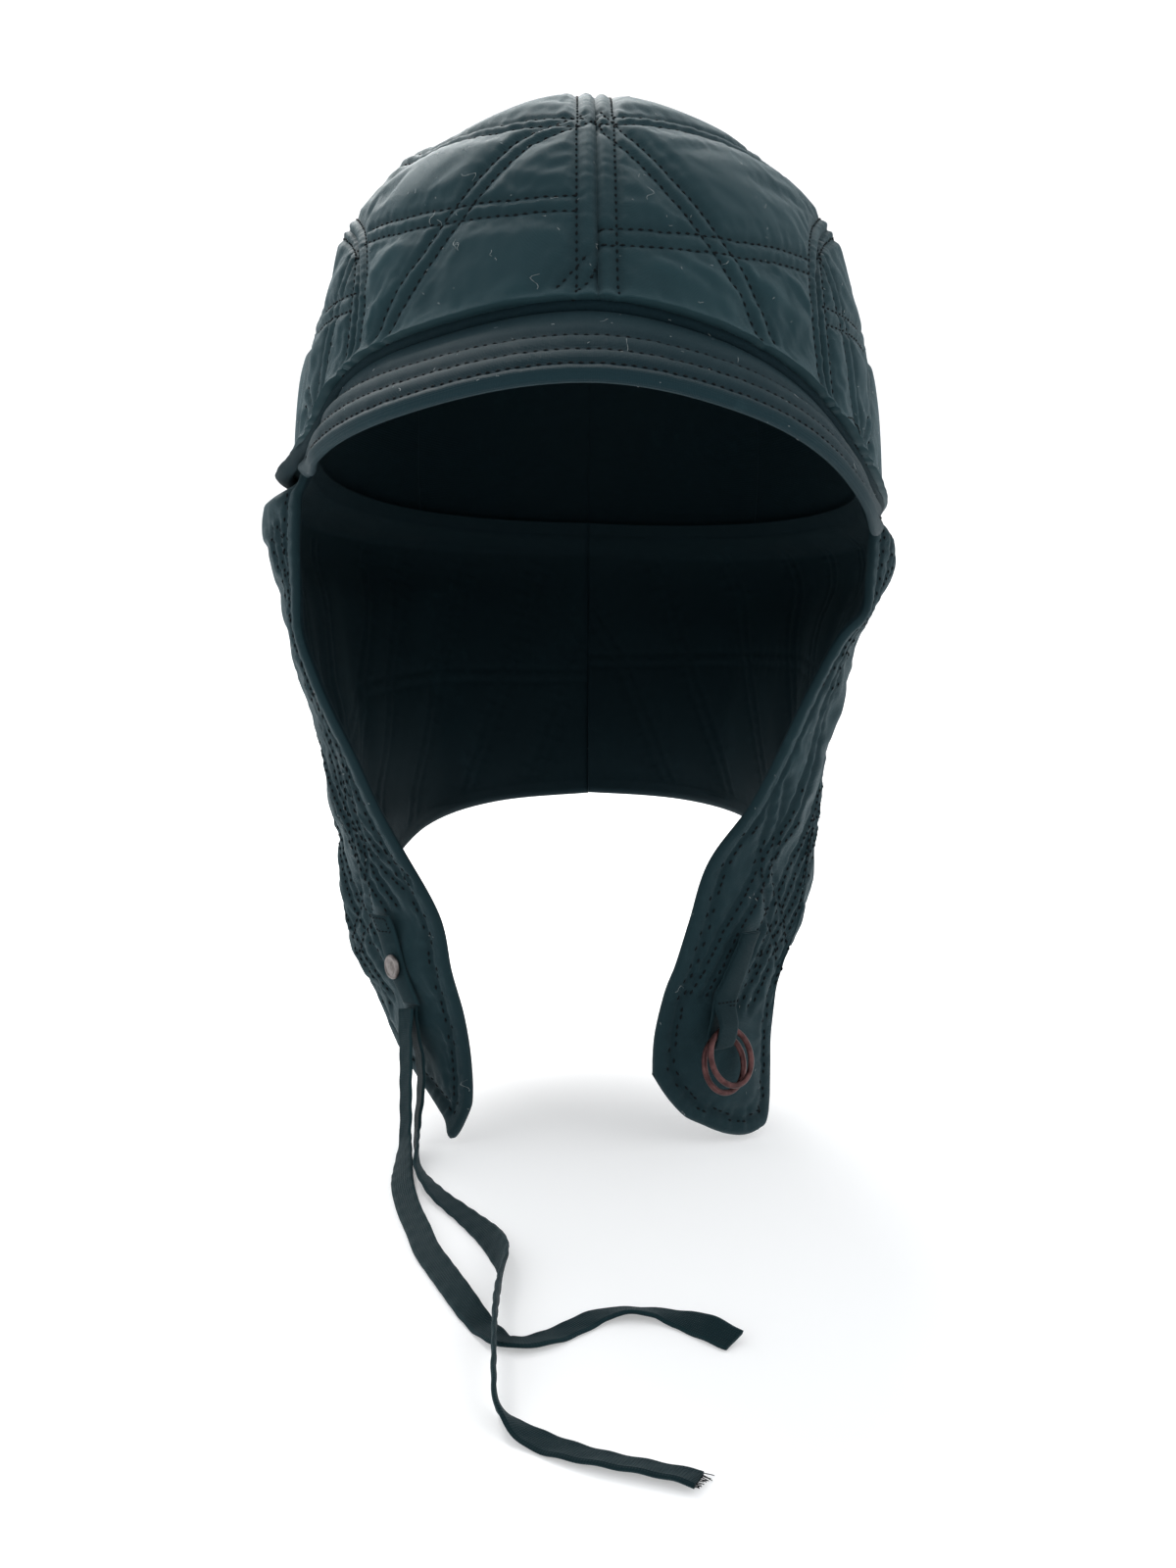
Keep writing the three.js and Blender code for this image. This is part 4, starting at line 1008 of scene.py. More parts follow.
rolled_edge = rolled_edge_body(480, 20)
keep_stand(rolled_edge, np.full(len(rolled_edge.data.vertices), 0.55))
# the roll wears the darker lining nylon as painted shade under the crown's lip
finish_piece(rolled_edge, lining, "shell_fabric", "hem_roll")

# %% [markdown]
# The peak is soft, two thicknesses of cloth over a thin stiffener. It reaches furthest over the nose
# and runs out to nothing over the ears, bent down steeply at both ends. A table says how far it
# reaches and how steeply it slopes at each turn round the head. Its inner edge is tucked up behind
# the rolled edge, so no light comes through between them.

# %% The surface of the peak
peak_table = table(
    "turn reach slope",
    (-70, 3, 80), (-66, 4.5, 76), (-60, 8.5, 70), (-54, 15, 64), (-49, 21.5, 59), (-45, 24.8, 56),
    (-25, 31.5, 42), (0, 35.5, 35), (25, 31.5, 42), (45, 25.5, 56), (51, 23, 61), (56, 19.9, 66),
    (61, 16.3, 70), (66, 13, 72), (71, 10, 72), (76, 7, 72),
)
peak_reach, peak_slope = reader(peak_table, "turn", "reach"), reader(peak_table, "turn", "slope")
peak_rows = (4.6, 11.6, 19.5)
peak_wall = 3.2
peak_tuck = 2.6
peak_ends = (-70, 76)


def peak_surface(turn, along, lift):
    root = dome_point(turn, hem_rise(turn))
    out = unit(root * (1, 1, 0))
    tilt = np.radians(peak_slope(turn))
    spot = root + out * (along * np.cos(tilt) + lift * np.sin(tilt) - 1)[..., None]
    spot[..., 2] += lift * np.cos(tilt) - along * np.sin(tilt) - 2.5
    return spot


print("the peak's tip is at", np.round(peak_surface(0.0, peak_reach(0.0), 0.0), 1))

# %% [markdown]
# Three stitched rows follow the peak's free edge, and between them it is ribbed like a quilt. Its cloth is
# the same nylon with less sheen. It is painted darker than the crown, as shade, both in its own colours and
# by the low stand that it keeps. The rows are kept for the stitches.

# %% The peak
shaded_peak_nylon = woven("shaded_peak_nylon", (0.0025, 0.012, 0.017), (0.0065, 0.023, 0.029), (0.018, 0.04, 0.047),
                   0.33, 0.8, 0.04, 0.66)
peak_length = 255


def peak_body(columns, rows):
    u, v = sheet_grid(columns, rows, (0.5, 0.3))
    turn = mix(*peak_ends, u)
    reach = peak_reach(turn) + peak_tuck
    to_edge = np.minimum((1 - v) * reach, np.minimum(u, 1 - u) * peak_length)
    thick = peak_wall / 2 * np.sqrt(np.maximum(0.02, 1 - (1 - np.clip(to_edge / 1.9, 0, 1)) ** 2))
    away = np.min([np.abs((1 - v) * reach - row) for row in peak_rows], axis=0)
    ribs = 1.15 * (1 - np.exp(-(away / 1.9) ** 1.5)) - 0.6
    ribs = ribs + 0.13 * ripple(u * peak_length, 6.5) * np.exp(-(away / 2.5) ** 2)
    ribs = ribs * np.clip(to_edge / 2, 0, 1)
    middle, along = 1.6 * np.sin(math.pi * v) - peak_wall / 2, reach * v - peak_tuck
    # the peak keeps a low stand, so its colour is painted darker, as shade
    return sheet_body("peak_cloth", columns, rows, (peak_length, 34), u, v,
                      peak_surface(turn, along, middle + thick + ribs),
                      peak_surface(turn, along, middle - thick - 0.5 * ribs), np.clip(away / 9, 0, 0.35))


peak = peak_body(260, 48)
finish_piece(peak, shaded_peak_nylon, "shell_fabric", "peak")
sewn_rows["peak_cloth"] = []
for row in peak_rows:
    turns = np.linspace(*peak_ends, 220)
    turns = turns[peak_reach(turns) > row + 2]
    sewn_rows["peak_cloth"].append(peak_surface(turns, peak_reach(turns) - row, 1.0 + 0 * turns))

# %% [markdown]
# An ear flap and its half of the nape curtain are one piece of cloth, which hangs from the rolled
# edge, goes round the side of the head and meets the other one in a seam at the back. Its level
# sections are given by tables: where the front edge is, where it is widest, and how far back it
# reaches. The lower edge is a tongue in front, which the tabs are sewn to, and a shallow curve
# behind. Side 1 is the wearer's left and side -1 the right.

# %% Measurements of the flaps
flap_bend = {1: 62, -1: 34}
flap_around = 205
flap_wall = 4
flap_columns = "level edge_out edge_front side_out side_front back"
flap_tables = {
    1: table(
        flap_columns,
        (-200, 20.2, 64, 57.5, 38, 94), (-185, 19, 66, 57.5, 39, 94), (-170, 19.2, 66, 57.5, 38, 94),
        (-158, 21.9, 65, 58.5, 36, 94), (-150, 25, 65, 62, 30, 94), (-137, 29.4, 63, 68.6, 20, 95),
        (-121, 35.2, 60, 71.6, 13, 96), (-107, 46.8, 57, 73.5, 10, 98), (-91, 57.1, 52, 76.4, 8, 100),
        (-71, 67.5, 46, 80.7, 8, 103), (-57, 76.1, 40, 84.5, 8, 105), (-49, 84, 36, 88.5, 8, 106),
        (-36, 85.8, 29, 96, 7, 108), (-25, 87.5, 23, 97.8, 5, 109), (-14, 90, 20, 95, 2, 108),
        (4, 90, 20, 91, 0, 105),
    ),
    -1: table(
        flap_columns,
        (-202, 38.3, 61, 54, 28, 94), (-190, 35.1, 62, 57.5, 25, 94), (-178, 35, 62, 62, 22, 94),
        (-165, 36.8, 62, 67.3, 19, 94), (-152, 40.3, 61, 73.8, 16, 94), (-137, 43.7, 58, 76.6, 15, 95),
        (-118, 55.1, 55, 78, 13, 97), (-106, 62.3, 52, 81, 12, 98), (-91, 70.1, 48, 83, 12, 100),
        (-78, 77.3, 45, 86.2, 12, 102), (-69, 81.5, 43, 89.6, 12, 103), (-54, 87.5, 38, 93.6, 11, 105),
        (-40, 88.4, 34, 97, 9, 107), (-25, 89, 29, 102.3, 6, 109), (-10, 89, 26, 101, 3, 108),
        (4, 89, 25, 91, 0, 105),
    ),
}
flap_hem_table = table(
    "share left right",
    (0, -180, -190), (0.015, -185.5, -199), (0.03, -190, -200.4), (0.045, -193.4, -196.4),
    (0.065, -195.8, -193.8), (0.095, -199, -190.2), (0.12, -200.6, -187.2), (0.145, -201.3, -184),
    (0.17, -200.8, -181.2), (0.19, -199, -178), (0.2, -192, -175.5), (0.204, -180, -174),
    (0.207, -168, -172.8), (0.213, -160.5, -170), (0.23, -156.8, -165), (0.25, -153.6, -160.5),
    (0.3, -145, -153.5), (0.36, -136.5, -147), (0.48, -126, -134), (0.62, -118.5, -122),
    (0.8, -114, -115), (1, -112, -112),
)
flap_hem = {1: reader(flap_hem_table, "share", "left"), -1: reader(flap_hem_table, "share", "right")}
print("the flaps hang down to", flap_hem_table["left"].min(), "and", flap_hem_table["right"].min(), "mm")

# %% [markdown]
# A level section of a flap is a tight bend in front, which turns the front edge inwards, and a wide
# quarter round the head. Places on it are asked for by their share of the way round, measured along
# the cloth, so the section's length is added up in small steps first and then read backwards.

# %% The surface of a flap
def flap_surface(side, share, level):
    """A place on the outside of a flap: share of the way round from its front edge, and height."""
    read = {name: reader(flap_tables[side], "level", name)(level) for name in flap_columns.split()[1:]}
    bend = math.radians(flap_bend[side])

    def section(w, read):
        q = (1 - np.minimum(w, 0.3) / 0.3) * bend
        inward, forward = (1 - np.cos(q)) / (1 - math.cos(bend)), np.sin(q) / math.sin(bend)
        front_x = mix(read["side_out"], read["edge_out"], inward)
        front_y = mix(-read["side_front"], -read["edge_front"], forward)
        q = np.maximum(w - 0.3, 0) / 0.7 * math.pi / 2
        back_x = read["side_out"] * np.maximum(0, np.cos(q)) ** 0.88
        back_y = mix(-read["side_front"], read["back"], np.sin(q) ** 0.88)
        return np.where(w < 0.3, front_x, back_x), np.where(w < 0.3, front_y, back_y)

    samples = 48
    grid = np.linspace(0, 1, samples + 1)
    x, y = section(grid[None, :], {name: column[:, None] for name, column in read.items()})
    lengths = np.cumsum(np.hypot(np.diff(x, axis=1), np.diff(y, axis=1)), axis=1)
    lengths = np.concatenate([np.zeros((len(level), 1)), lengths], axis=1)
    wanted = np.clip(share, 0, 1) * lengths[:, -1]
    i = np.clip(np.sum(lengths[:, 1:] < wanted[:, None], axis=1), 0, samples - 1)
    row = np.arange(len(level))
    part = (wanted - lengths[row, i]) / (lengths[row, i + 1] - lengths[row, i])
    x, y = section((i + part) / samples, read)
    return vectors(side * x, y, level)


def flap_normal(side, share, level):
    onward, back = np.minimum(1, share + 0.01), np.maximum(0, share - 0.01)
    across = flap_surface(side, onward, level) - flap_surface(side, back, level)
    up = flap_surface(side, share, level + 1) - flap_surface(side, share, level - 1)
    return unit(np.cross(across, up) * side)


print("the left flap's front edge is at", np.round(flap_surface(1, np.zeros(1), np.full(1, -150.0)), 1))

# %% [markdown]
# Cloth that hangs falls into long soft folds. Each is a ridge between two places on the flat sheet,
# named by share and level, with its height and its width in mm. What is sewn onto a flap asks for its
# places here too, so that the tabs and the stitches ride over the folds.

# %% Folds in the flaps
fold_tables = {
    1: ((0.06, -168, 0.18, -40, 1.5, 5), (0.2, -150, 0.3, -30, 1.8, 7), (0.42, -128, 0.44, -35, 1.6, 8),
        (0.7, -112, 0.66, -35, 1.6, 9)),
    -1: ((0.07, -185, 0.16, -45, 1.5, 5), (0.22, -160, 0.26, -30, 2, 6), (0.4, -140, 0.4, -30, 1.6, 8),
         (0.68, -115, 0.66, -35, 1.6, 9)),
}


def fold_lift(side, share, level):
    lift = np.zeros(len(share))
    for from_share, from_level, to_share, to_level, height, spread in fold_tables[side]:
        along_x, along_y = (to_share - from_share) * flap_around, to_level - from_level
        x, y = (share - from_share) * flap_around, level - from_level
        t = np.clip((x * along_x + y * along_y) / (along_x ** 2 + along_y ** 2), 0, 1)
        away = np.hypot(x - along_x * t, y - along_y * t)
        lift += height * np.sqrt(np.sin(math.pi * t)) * np.exp(-(away / spread) ** 2)
    return lift


def on_flap(side, share, level, across=0.0, out=0.0):
    """A place on or over the outside of a flap: across runs along the flap in mm, out away from it."""
    share, level = np.broadcast_arrays(np.asarray(share, float), np.asarray(level, float))
    shape = share.shape
    share, level = share.ravel(), level.ravel()
    across, out = np.broadcast_to(across, shape).ravel(), np.broadcast_to(out, shape).ravel()
    here = share + across / flap_around
    lift = fold_lift(side, here, level) + out
    spot = flap_surface(side, here, level) + flap_normal(side, share, level) * lift[:, None]
    return spot.reshape(*shape, 3)


down_the_fold = fold_lift(1, np.full(99, 0.25), np.linspace(-160, -20, 99))
print("the left flap's second fold stands up to", round(float(down_the_fold.max()), 2), "mm")

# %% [markdown]
# On the flap the quilting runs in long slanting ridges. The lines are given on the flat sheet, as a
# cutter would mark them: millimetres back from the front edge, and the level. The photograph shows
# the ones near the front edge, and the ones behind go on in the same way.

# %% Where the quilting runs on the flaps
flap_quilt = {
    1: [[(9, -158), (12.5, -140), (18, -126), (20.5, -108), (20.5, -92), (14, -75), (12, -50), (16, -20)],
        [(24, -153), (28, -138), (35, -122), (44, -100), (50, -70), (50, -20)],
        [(27, -163), (34, -145), (43, -126), (62, -90), (76, -50), (80, -20)],
        [(6, -98), (12, -108), (20, -122), (32, -140), (42, -152)],
        [(62, -140), (92, -70), (108, -20)], [(96, -130), (124, -70), (142, -20)],
        [(130, -122), (156, -70), (176, -20)], [(166, -114), (190, -60), (205, -40)],
        [(50, -70), (90, -62), (140, -60), (205, -60)]],
    -1: [[(4, -127), (9, -121), (14.5, -112), (15.5, -100), (14, -86), (8, -72), (8, -40), (12, -20)],
         [(15, -135), (19.5, -121), (22.5, -107), (30, -80), (40, -40), (42, -20)],
         [(24, -152), (31, -143), (36, -134), (41, -122), (56, -90), (66, -40), (68, -20)],
         [(30, -164), (44, -146), (56, -128), (84, -80), (100, -40), (104, -20)],
         [(7, -86), (12, -100), (20, -120), (30, -136), (44, -150)],
         [(80, -136), (104, -80), (124, -20)], [(112, -128), (136, -70), (154, -20)],
         [(146, -120), (172, -60), (186, -20)], [(178, -114), (196, -70), (205, -50)],
         [(56, -90), (90, -72), (140, -66), (205, -66)]],
}
print("quilted lines on the flaps:", {side: len(lines) for side, lines in flap_quilt.items()})

# %% [markdown]
# A hem 5 mm wide goes round the flap's free edge. Its row lies at that distance from the edge
# everywhere, so the edge is drawn first, from the top down the front and along the bottom. At the
# top, a flap runs up behind the crown's rim, where it is sewn in.

# %% Edges and hems of the flaps
HEM = 5.2


def flat_line(points, step=4.0):
    line = []
    for a, b in zip(points[:-1], points[1:]):
        count = max(1, int(math.dist(a, b) / step))
        line += [(mix(a[0], b[0], k / count), mix(a[1], b[1], k / count)) for k in range(count)]
    return np.array(line + [points[-1]], float)


def flap_top(side, share):
    near = flap_surface(side, share, np.full(len(share), -7.0))
    return hem_rise(turn_of(near)) + 4.5


def flap_edge_line(side, inset):
    """The flap's free edge on the flat sheet, moved in by inset mm."""
    share = np.concatenate([np.linspace(0, 0.24, 160), np.linspace(0.25, 1, 60)])
    hem = np.stack([share * flap_around, flap_hem[side](share)], -1)
    front = np.stack([np.zeros(40), np.linspace(0, hem[0, 1], 41)[:-1]], -1)
    line = np.concatenate([front, hem])
    ahead = np.gradient(line, axis=0)
    return line + unit(np.stack([-ahead[:, 1], ahead[:, 0]], -1)) * inset


def both_sides(line):
    """A pair of stitched rows on the flat sheet, either side of a line."""
    ahead = unit(np.gradient(line, axis=0))
    square = np.stack([-ahead[:, 1], ahead[:, 0]], -1)
    return [line + square * PAIR, line - square * PAIR]


def flap_rows(side, edge):
    """All stitched rows of a flap on the flat sheet, the hem's first."""
    hem_row = flap_edge_line(side, HEM)
    hem_row = hem_row[(hem_row[:, 0] > HEM - 0.5) & (nearest_row(hem_row, [edge])[0] > HEM - 0.4)]
    return [hem_row] + [row for points in flap_quilt[side] for row in both_sides(flat_line(points))]


print("the left flap has", len(flap_rows(1, flap_edge_line(1, 0))), "stitched rows")

# %% [markdown]
# Where it is sewn in, the flap has to lie flat inside the crown's rim, whatever folds it has lower
# down. So its top eight millimetres are gathered: surface and direction pass smoothly from those of
# the flap to those of the dome. This is done by formula, because the seam fixes it completely.

# %% Gathered under the crown
def gathered_top(side, share, level):
    """Places and directions of a flap's surface, with its top drawn in under the crown's rim."""
    spots = flap_surface(side, share, level)
    above = level - hem_rise(turn_of(spots))
    gathered = np.clip((above + 8) / 8, 0, 1)
    gathered = (gathered * gathered * (3 - 2 * gathered))[:, None]
    percent = (0.6 + 2 * np.clip(above / 4.5, 0, 1))[:, None]
    under_crown = dome_point(turn_of(spots), level) * (1 - percent / 100 * (1, 1, 0))
    spots = mix(spots, under_crown, gathered)
    normals = unit(mix(flap_normal(side, share, level), unit(spots * (1, 1, 0)), gathered))
    return spots, normals, gathered[:, 0]


print("at the top a flap is gathered by", gathered_top(1, np.full(1, 0.5), np.full(1, -2.0))[2])

# %% [markdown]
# The sheet thins towards its free edge in a rounded hem, and it is pinched in along the row that
# holds the hem down. Distances are measured on the flat sheet. Its lines stand closer together
# towards the front, where the photograph shows it. The simulation works between the rows.

# %% The two ear flaps
def flap_piece(side, name, node, columns=240, rows_down=192):
    edge = flap_edge_line(side, 0)
    rows = flap_rows(side, edge)
    u, v = sheet_grid(columns, rows_down, (0.0, 0.35))
    share = u ** 1.25
    level = mix(flap_top(side, share), flap_hem[side](share), v)
    flat = np.stack([share * flap_around, level], -1)
    to_edge = nearest_row(flat, [edge])[0]
    away, along = nearest_row(flat, rows)
    inside = np.clip(to_edge / 2.4, 0, 1)
    puff = 0.8 * (1 - np.exp(-(away / 1.2) ** 1.8)) + 0.9 * (1 - np.exp(-(away / 8) ** 2)) - 1.3
    puff = puff + 0.34 * ripple(along, 4.6) * np.exp(-((away - 1.6) / 2.2) ** 2)
    half = flap_wall / 2 * np.sqrt(np.maximum(0.03, 1 - (1 - inside) ** 2))
    spots, normals, gathered = gathered_top(side, share, level)
    drawn_in = 0.3 + 1.6 * (side > 0) * np.exp(-((level + 90) / 28) ** 2)
    middle = (fold_lift(side, share, level) - drawn_in) * (1 - gathered) - flap_wall / 2
    within = (np.minimum(u, 1 - u) * columns > 1.5) & (np.minimum(v, 1 - v) * rows_down > 1.5)
    free = (away > 1.7) & (to_edge > HEM + 1.2) & within
    billow = settled(spots, columns, rows_down, free) * (1 - np.exp(-(away / 2.0) ** 2))[:, None]
    outer = spots + normals * (middle + half + puff * inside)[:, None] + billow * inside[:, None]
    inner = spots + normals * (middle - half - 0.35 * puff * np.clip((to_edge - HEM) / 3, 0, 1))[:, None]
    piece = sheet_body(name, columns, rows_down, (flap_around, 170), u, v, outer, inner,
                       np.clip(0.4 + 0.25 * puff, 0, 1), True)
    finish_piece(piece, (shell, lining), "shell_fabric", node)
    sewn_rows[name] = [on_flap(side, row[:, 0] / flap_around, row[:, 1], 0, 0.5) for row in rows]


flap_piece(1, "left_flap", "ear_flap_left")
flap_piece(-1, "right_flap", "ear_flap_right")

# %% [markdown]
# Two tabs of the same nylon are sewn on near the points of the flaps: one carries the rings and one
# the snap. Both lie on a slanting line, given by its share of the way round at the top and at the
# bottom, so one helper finds the places on either of them.

# %% Places on the tabs
tab = {"thickness": 1.1, "lift": 0.6}
ring_tab = {"width": 8, "top": -140, "stitch": -160, "bottom": -171.8,
            "top_share": 0.089, "bottom_share": 0.082}
snap_tab = {"width": 7.5, "top": -136.5, "bottom": -161.5, "top_share": 0.094, "bottom_share": 0.074}
tab_cloth = woven("tab_nylon", (0.002, 0.009, 0.012), (0.007, 0.021, 0.026), (0.02, 0.04, 0.046),
                  0.33, 0.8, 0.08, 0.7)


def tab_spot(side, size, level, across, out):
    along = (size["top"] - level) / (size["top"] - size["bottom"])
    return on_flap(side, mix(size["top_share"], size["bottom_share"], along), level, across, out)


print("the snap tab's lower end is at", np.round(tab_spot(-1, snap_tab, -161.5, 0.0, 1.0), 1))

# %% [markdown]
# The ring tab is a strip of folded cloth. It lies flat on the flap, is stitched across, and below
# that row it makes a loop which holds the two rings. So the strip is followed from its top end
# behind, down round the loop and up again in front, and each place on that path is laid on the flap.

# %% The ring tab
loop_path = table(
    "step out level",
    (0, 1.15, -140), (1, 1.15, -154), (2, 1.15, -160), (3, 1.15, -168.6), (4, 2.9, -171.1), (5, 5.9, -171.1),
    (6, 7.1, -168.6), (7, 6.6, -165), (8, 2.7, -160.4), (9, 2.25, -154), (10, 2.2, -140.2),
)


def ring_tab_body(columns, rows):
    u, v = sheet_grid(columns, rows, (0, 0.4))
    steps = np.hypot(np.diff(loop_path["out"]), np.diff(loop_path["level"]))
    by_length = {**loop_path, "length": np.append(0, np.cumsum(steps))}
    read, run = [reader(by_length, "length", name) for name in ("out", "level")], u * steps.sum()
    out, level = (line(run) for line in read)
    ahead = unit(np.stack([line(run + 0.1) - line(run - 0.1) for line in read], -1))
    edge = np.maximum(0.2, np.sqrt(1 - np.abs(2 * v - 1) ** 8))

    def skin(half):
        away, height = out - ahead[:, 1] * half, level + ahead[:, 0] * half
        looped = np.clip((ring_tab["stitch"] - height + 4) / 10, 0, 1)
        looped = looped * looped * (3 - 2 * looped)
        narrow = 0.26 * np.clip((height + 157) / 15, 0, 1) + 0.12 * looped
        across = (v - 0.5) * ring_tab["width"] * (1 - narrow)
        away = away + looped * (1.1 - 0.26 * across) + 0.16 * ripple(height + 3 * v, 5.0) * (1 - looped)
        return tab_spot(1, ring_tab, height, across, away)

    return sheet_body("ring_tab_cloth", columns, rows, (66, 8), u, v, skin(0.49 * edge), skin(-0.49 * edge),
                      0.35 + 0.4 * (np.abs(2 * v - 1) > 0.8))


finish_piece(ring_tab_body(110, 14), tab_cloth, "tab_fabric", "ring_tab")

# %% [markdown]
# The snap tab is a plain strip, a little narrower at its lower end, where the ties come out from
# under it. It is turned in round its edge and puffed a little between its stitches.

# %% The snap tab
def snap_tab_body(columns, rows):
    u, v = sheet_grid(columns, rows, (0.3, 0.4))
    level = mix(snap_tab["top"], snap_tab["bottom"], u)
    across = (v - 0.5) * snap_tab["width"] * (1 - 0.22 * u)
    to_edge = np.minimum(snap_tab["width"] * (0.5 - np.abs(v - 0.5)), np.minimum(u, 1 - u) * 25)
    half = tab["thickness"] / 2 * np.sqrt(np.maximum(0.05, 1 - (1 - np.clip(to_edge / 0.9, 0, 1)) ** 2))
    swell = 0.35 * (1 - np.exp(-np.clip(to_edge, 0, 3) / 1.2))
    middle = tab["lift"] + tab["thickness"] / 2
    return sheet_body("snap_tab_cloth", columns, rows, (25, 7.5), u, v,
                      tab_spot(-1, snap_tab, level, across, middle + half + swell),
                      tab_spot(-1, snap_tab, level, across, middle - half),
                      0.35 + 0.4 * (np.abs(2 * v - 1) > 0.8))


finish_piece(snap_tab_body(60, 18), tab_cloth, "tab_fabric", "snap_tab")

# %% [markdown]
# The rings are bent wire with a thin reddish-brown coat, worn paler where it rubs, and the snap is a
# pressed cap of dull nickel. Neither is clean metal: patches and fine scratches change both the
# colour and how sharply it reflects.

# %% Metals
def metal(name, deep, bright, roughness, scale):
    finish = Finish(name)
    place = finish.node("ShaderNodeTexCoord", None, None, "Object")
    patches = finish.noise(place, scale, 4.0, 0.6)
    scratches = finish.noise(place, scale * 9, 2.0, 0.7)
    colour = finish.blend(finish.spread(patches, 0.38, 0.66), (*deep, 1), (*bright, 1))
    rough = finish.spread(patches + scratches * 0.5, 0.5, 1.0, roughness - 0.08, roughness + 0.14)
    bump = finish.node("ShaderNodeBump", None,
                       {"Strength": 0.15, "Distance": 0.0002, "Height": scratches + patches}, "Normal")
    return finish.wear(base_color=colour, roughness=rough, normal=bump, metallic=0.85, specular_ior_level=0.5)


copper = metal("coated_wire", (0.045, 0.018, 0.018), (0.115, 0.052, 0.050), 0.42, 350)
nickel = metal("dull_nickel", (0.085, 0.075, 0.072), (0.20, 0.18, 0.175), 0.38, 500)
print("metals:", copper.name, "and", nickel.name)

# %% [markdown]
# Rings and cap are round, so each is a section spun round an axis. The section is made flat, spun
# with its ends merged, and then set on the middle and the axis of the solid it stands for, which are
# found as the mean of that solid's corners and the direction in which they spread least.

# %% Rings and snap cap
def seat_of(node):
    """The middle and the axis of a round CAD solid."""
    corners = np.array([corner.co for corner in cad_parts[node].data.vertices])
    corners = np.unique(np.round(corners, 6), axis=0)
    middle = corners.mean(axis=0)
    return middle, np.linalg.svd(corners - middle)[2][2]


def turned(name, section, node, material, slot, closed, outward=None, tilt=(0, 0, 0)):
    """section is a list of (reach, rise) places in mm; closed joins its ends; tilt leans the axis."""
    middle, axis = seat_of(node)
    if outward is not None and np.dot(axis, outward) < 0:
        axis = -axis
    axis = unit(axis + tilt)
    body = bmesh.new()
    ring = [body.verts.new((reach * MM, 0, rise * MM)) for reach, rise in section]
    edges = [body.edges.new(pair) for pair in zip(ring, ring[1:] + (ring[:1] if closed else []))]
    bmesh.ops.spin(body, geom=ring + edges, axis=(0, 0, 1), cent=(0, 0, 0), angle=2 * math.pi, steps=64,
                   use_merge=True)
    bmesh.ops.remove_doubles(body, verts=body.verts[:], dist=1e-7)
    bmesh.ops.recalc_face_normals(body, faces=body.faces[:])
    turn = Vector(axis).to_track_quat("Z", "Y").to_matrix().to_4x4()
    bmesh.ops.transform(body, matrix=Matrix.Translation(Vector(middle)) @ turn, verts=body.verts[:])
    finish_piece(new_piece(name, body), material, slot, node)


wire = [(7.9 + 0.85 * math.cos(a), 0.85 * math.sin(a)) for a in np.linspace(0, 2 * math.pi, 15)[:-1]]
for node in ("ring_front", "ring_back"):
    turned("wire_" + node, wire, node, copper, "ring_metal", True)
outward = flap_normal(-1, np.array([0.085]), np.array([-150.8]))[0]
cap = [(0, -0.7), (3.7, -0.7), (4.0, -0.45), (4.0, -0.1), (3.75, 0.25), (3.45, 0.42), (3.1, 0.38),
       (2.85, 0.24), (2.5, 0.26), (1.6, 0.44), (0.8, 0.5), (0, 0.52)]
turned("snap_cap_metal", [(0.9 * reach, rise) for reach, rise in cap], "snap_cap", nickel, "snap_metal",
       False, outward, (-0.3, 0, 0))

# %% [markdown]
# Stitches are what tells the eye that this is sewn. Each is a short dark thread that dives into the
# cloth at both ends, so one stitch is a six-sided rod with its ends drawn in. There are thousands of
# them, and six sides are enough for something under a millimetre thick.

# %% One stitch
thread = Finish("dark_thread")
thread_place = thread.node("ShaderNodeTexCoord", None, None, "Object")
twist = thread.noise(thread_place, 900.0, 2.0)
thread_bump = thread.node("ShaderNodeBump", None, {"Strength": 0.3, "Distance": 0.0002, "Height": twist},
                          "Normal")
thread_shade = thread.blend(twist, (0.0008, 0.002, 0.0028, 1), (0.003, 0.006, 0.008, 1))
dark_thread = thread.wear(base_color=thread_shade, roughness=thread.spread(twist, 0.3, 0.7, 0.6, 0.8),
                          normal=thread_bump, specular_ior_level=0.1)


def rod_body(sides, length, width, cuts):
    """A closed rod along x, cut into cuts + 1 lengths."""
    rod = bmesh.new()
    bmesh.ops.create_cone(rod, cap_ends=True, segments=sides, radius1=width / 2, radius2=width / 2,
                          depth=length, matrix=Matrix.Rotation(math.pi / 2, 4, "Y"))
    long_edges = [edge for edge in rod.edges if abs(edge.verts[0].co.x - edge.verts[1].co.x) > length / 2]
    bmesh.ops.subdivide_edges(rod, edges=long_edges, cuts=cuts)
    return rod


def stitch_shape(length, width):
    rod = rod_body(6, length, width, 1)
    for corner in rod.verts:
        end = abs(corner.co.x) / (length / 2)
        drawn_in = 1 - 0.55 * end
        corner.co = (corner.co.x, corner.co.y * drawn_in, corner.co.z * drawn_in - 0.3 * width * end)
    return new_piece("stitch", rod)


print("a stitch has", len(rod_body(6, 1.5, 0.7, 1).faces), "faces")

# %% [markdown]
# Thousands of copies of one small shape would take long as objects of their own. An Array modifier
# makes all the copies in one mesh at once, and their corners are then moved to where each copy
# belongs. The shape can be changed for each copy on the way, which the lint needs.

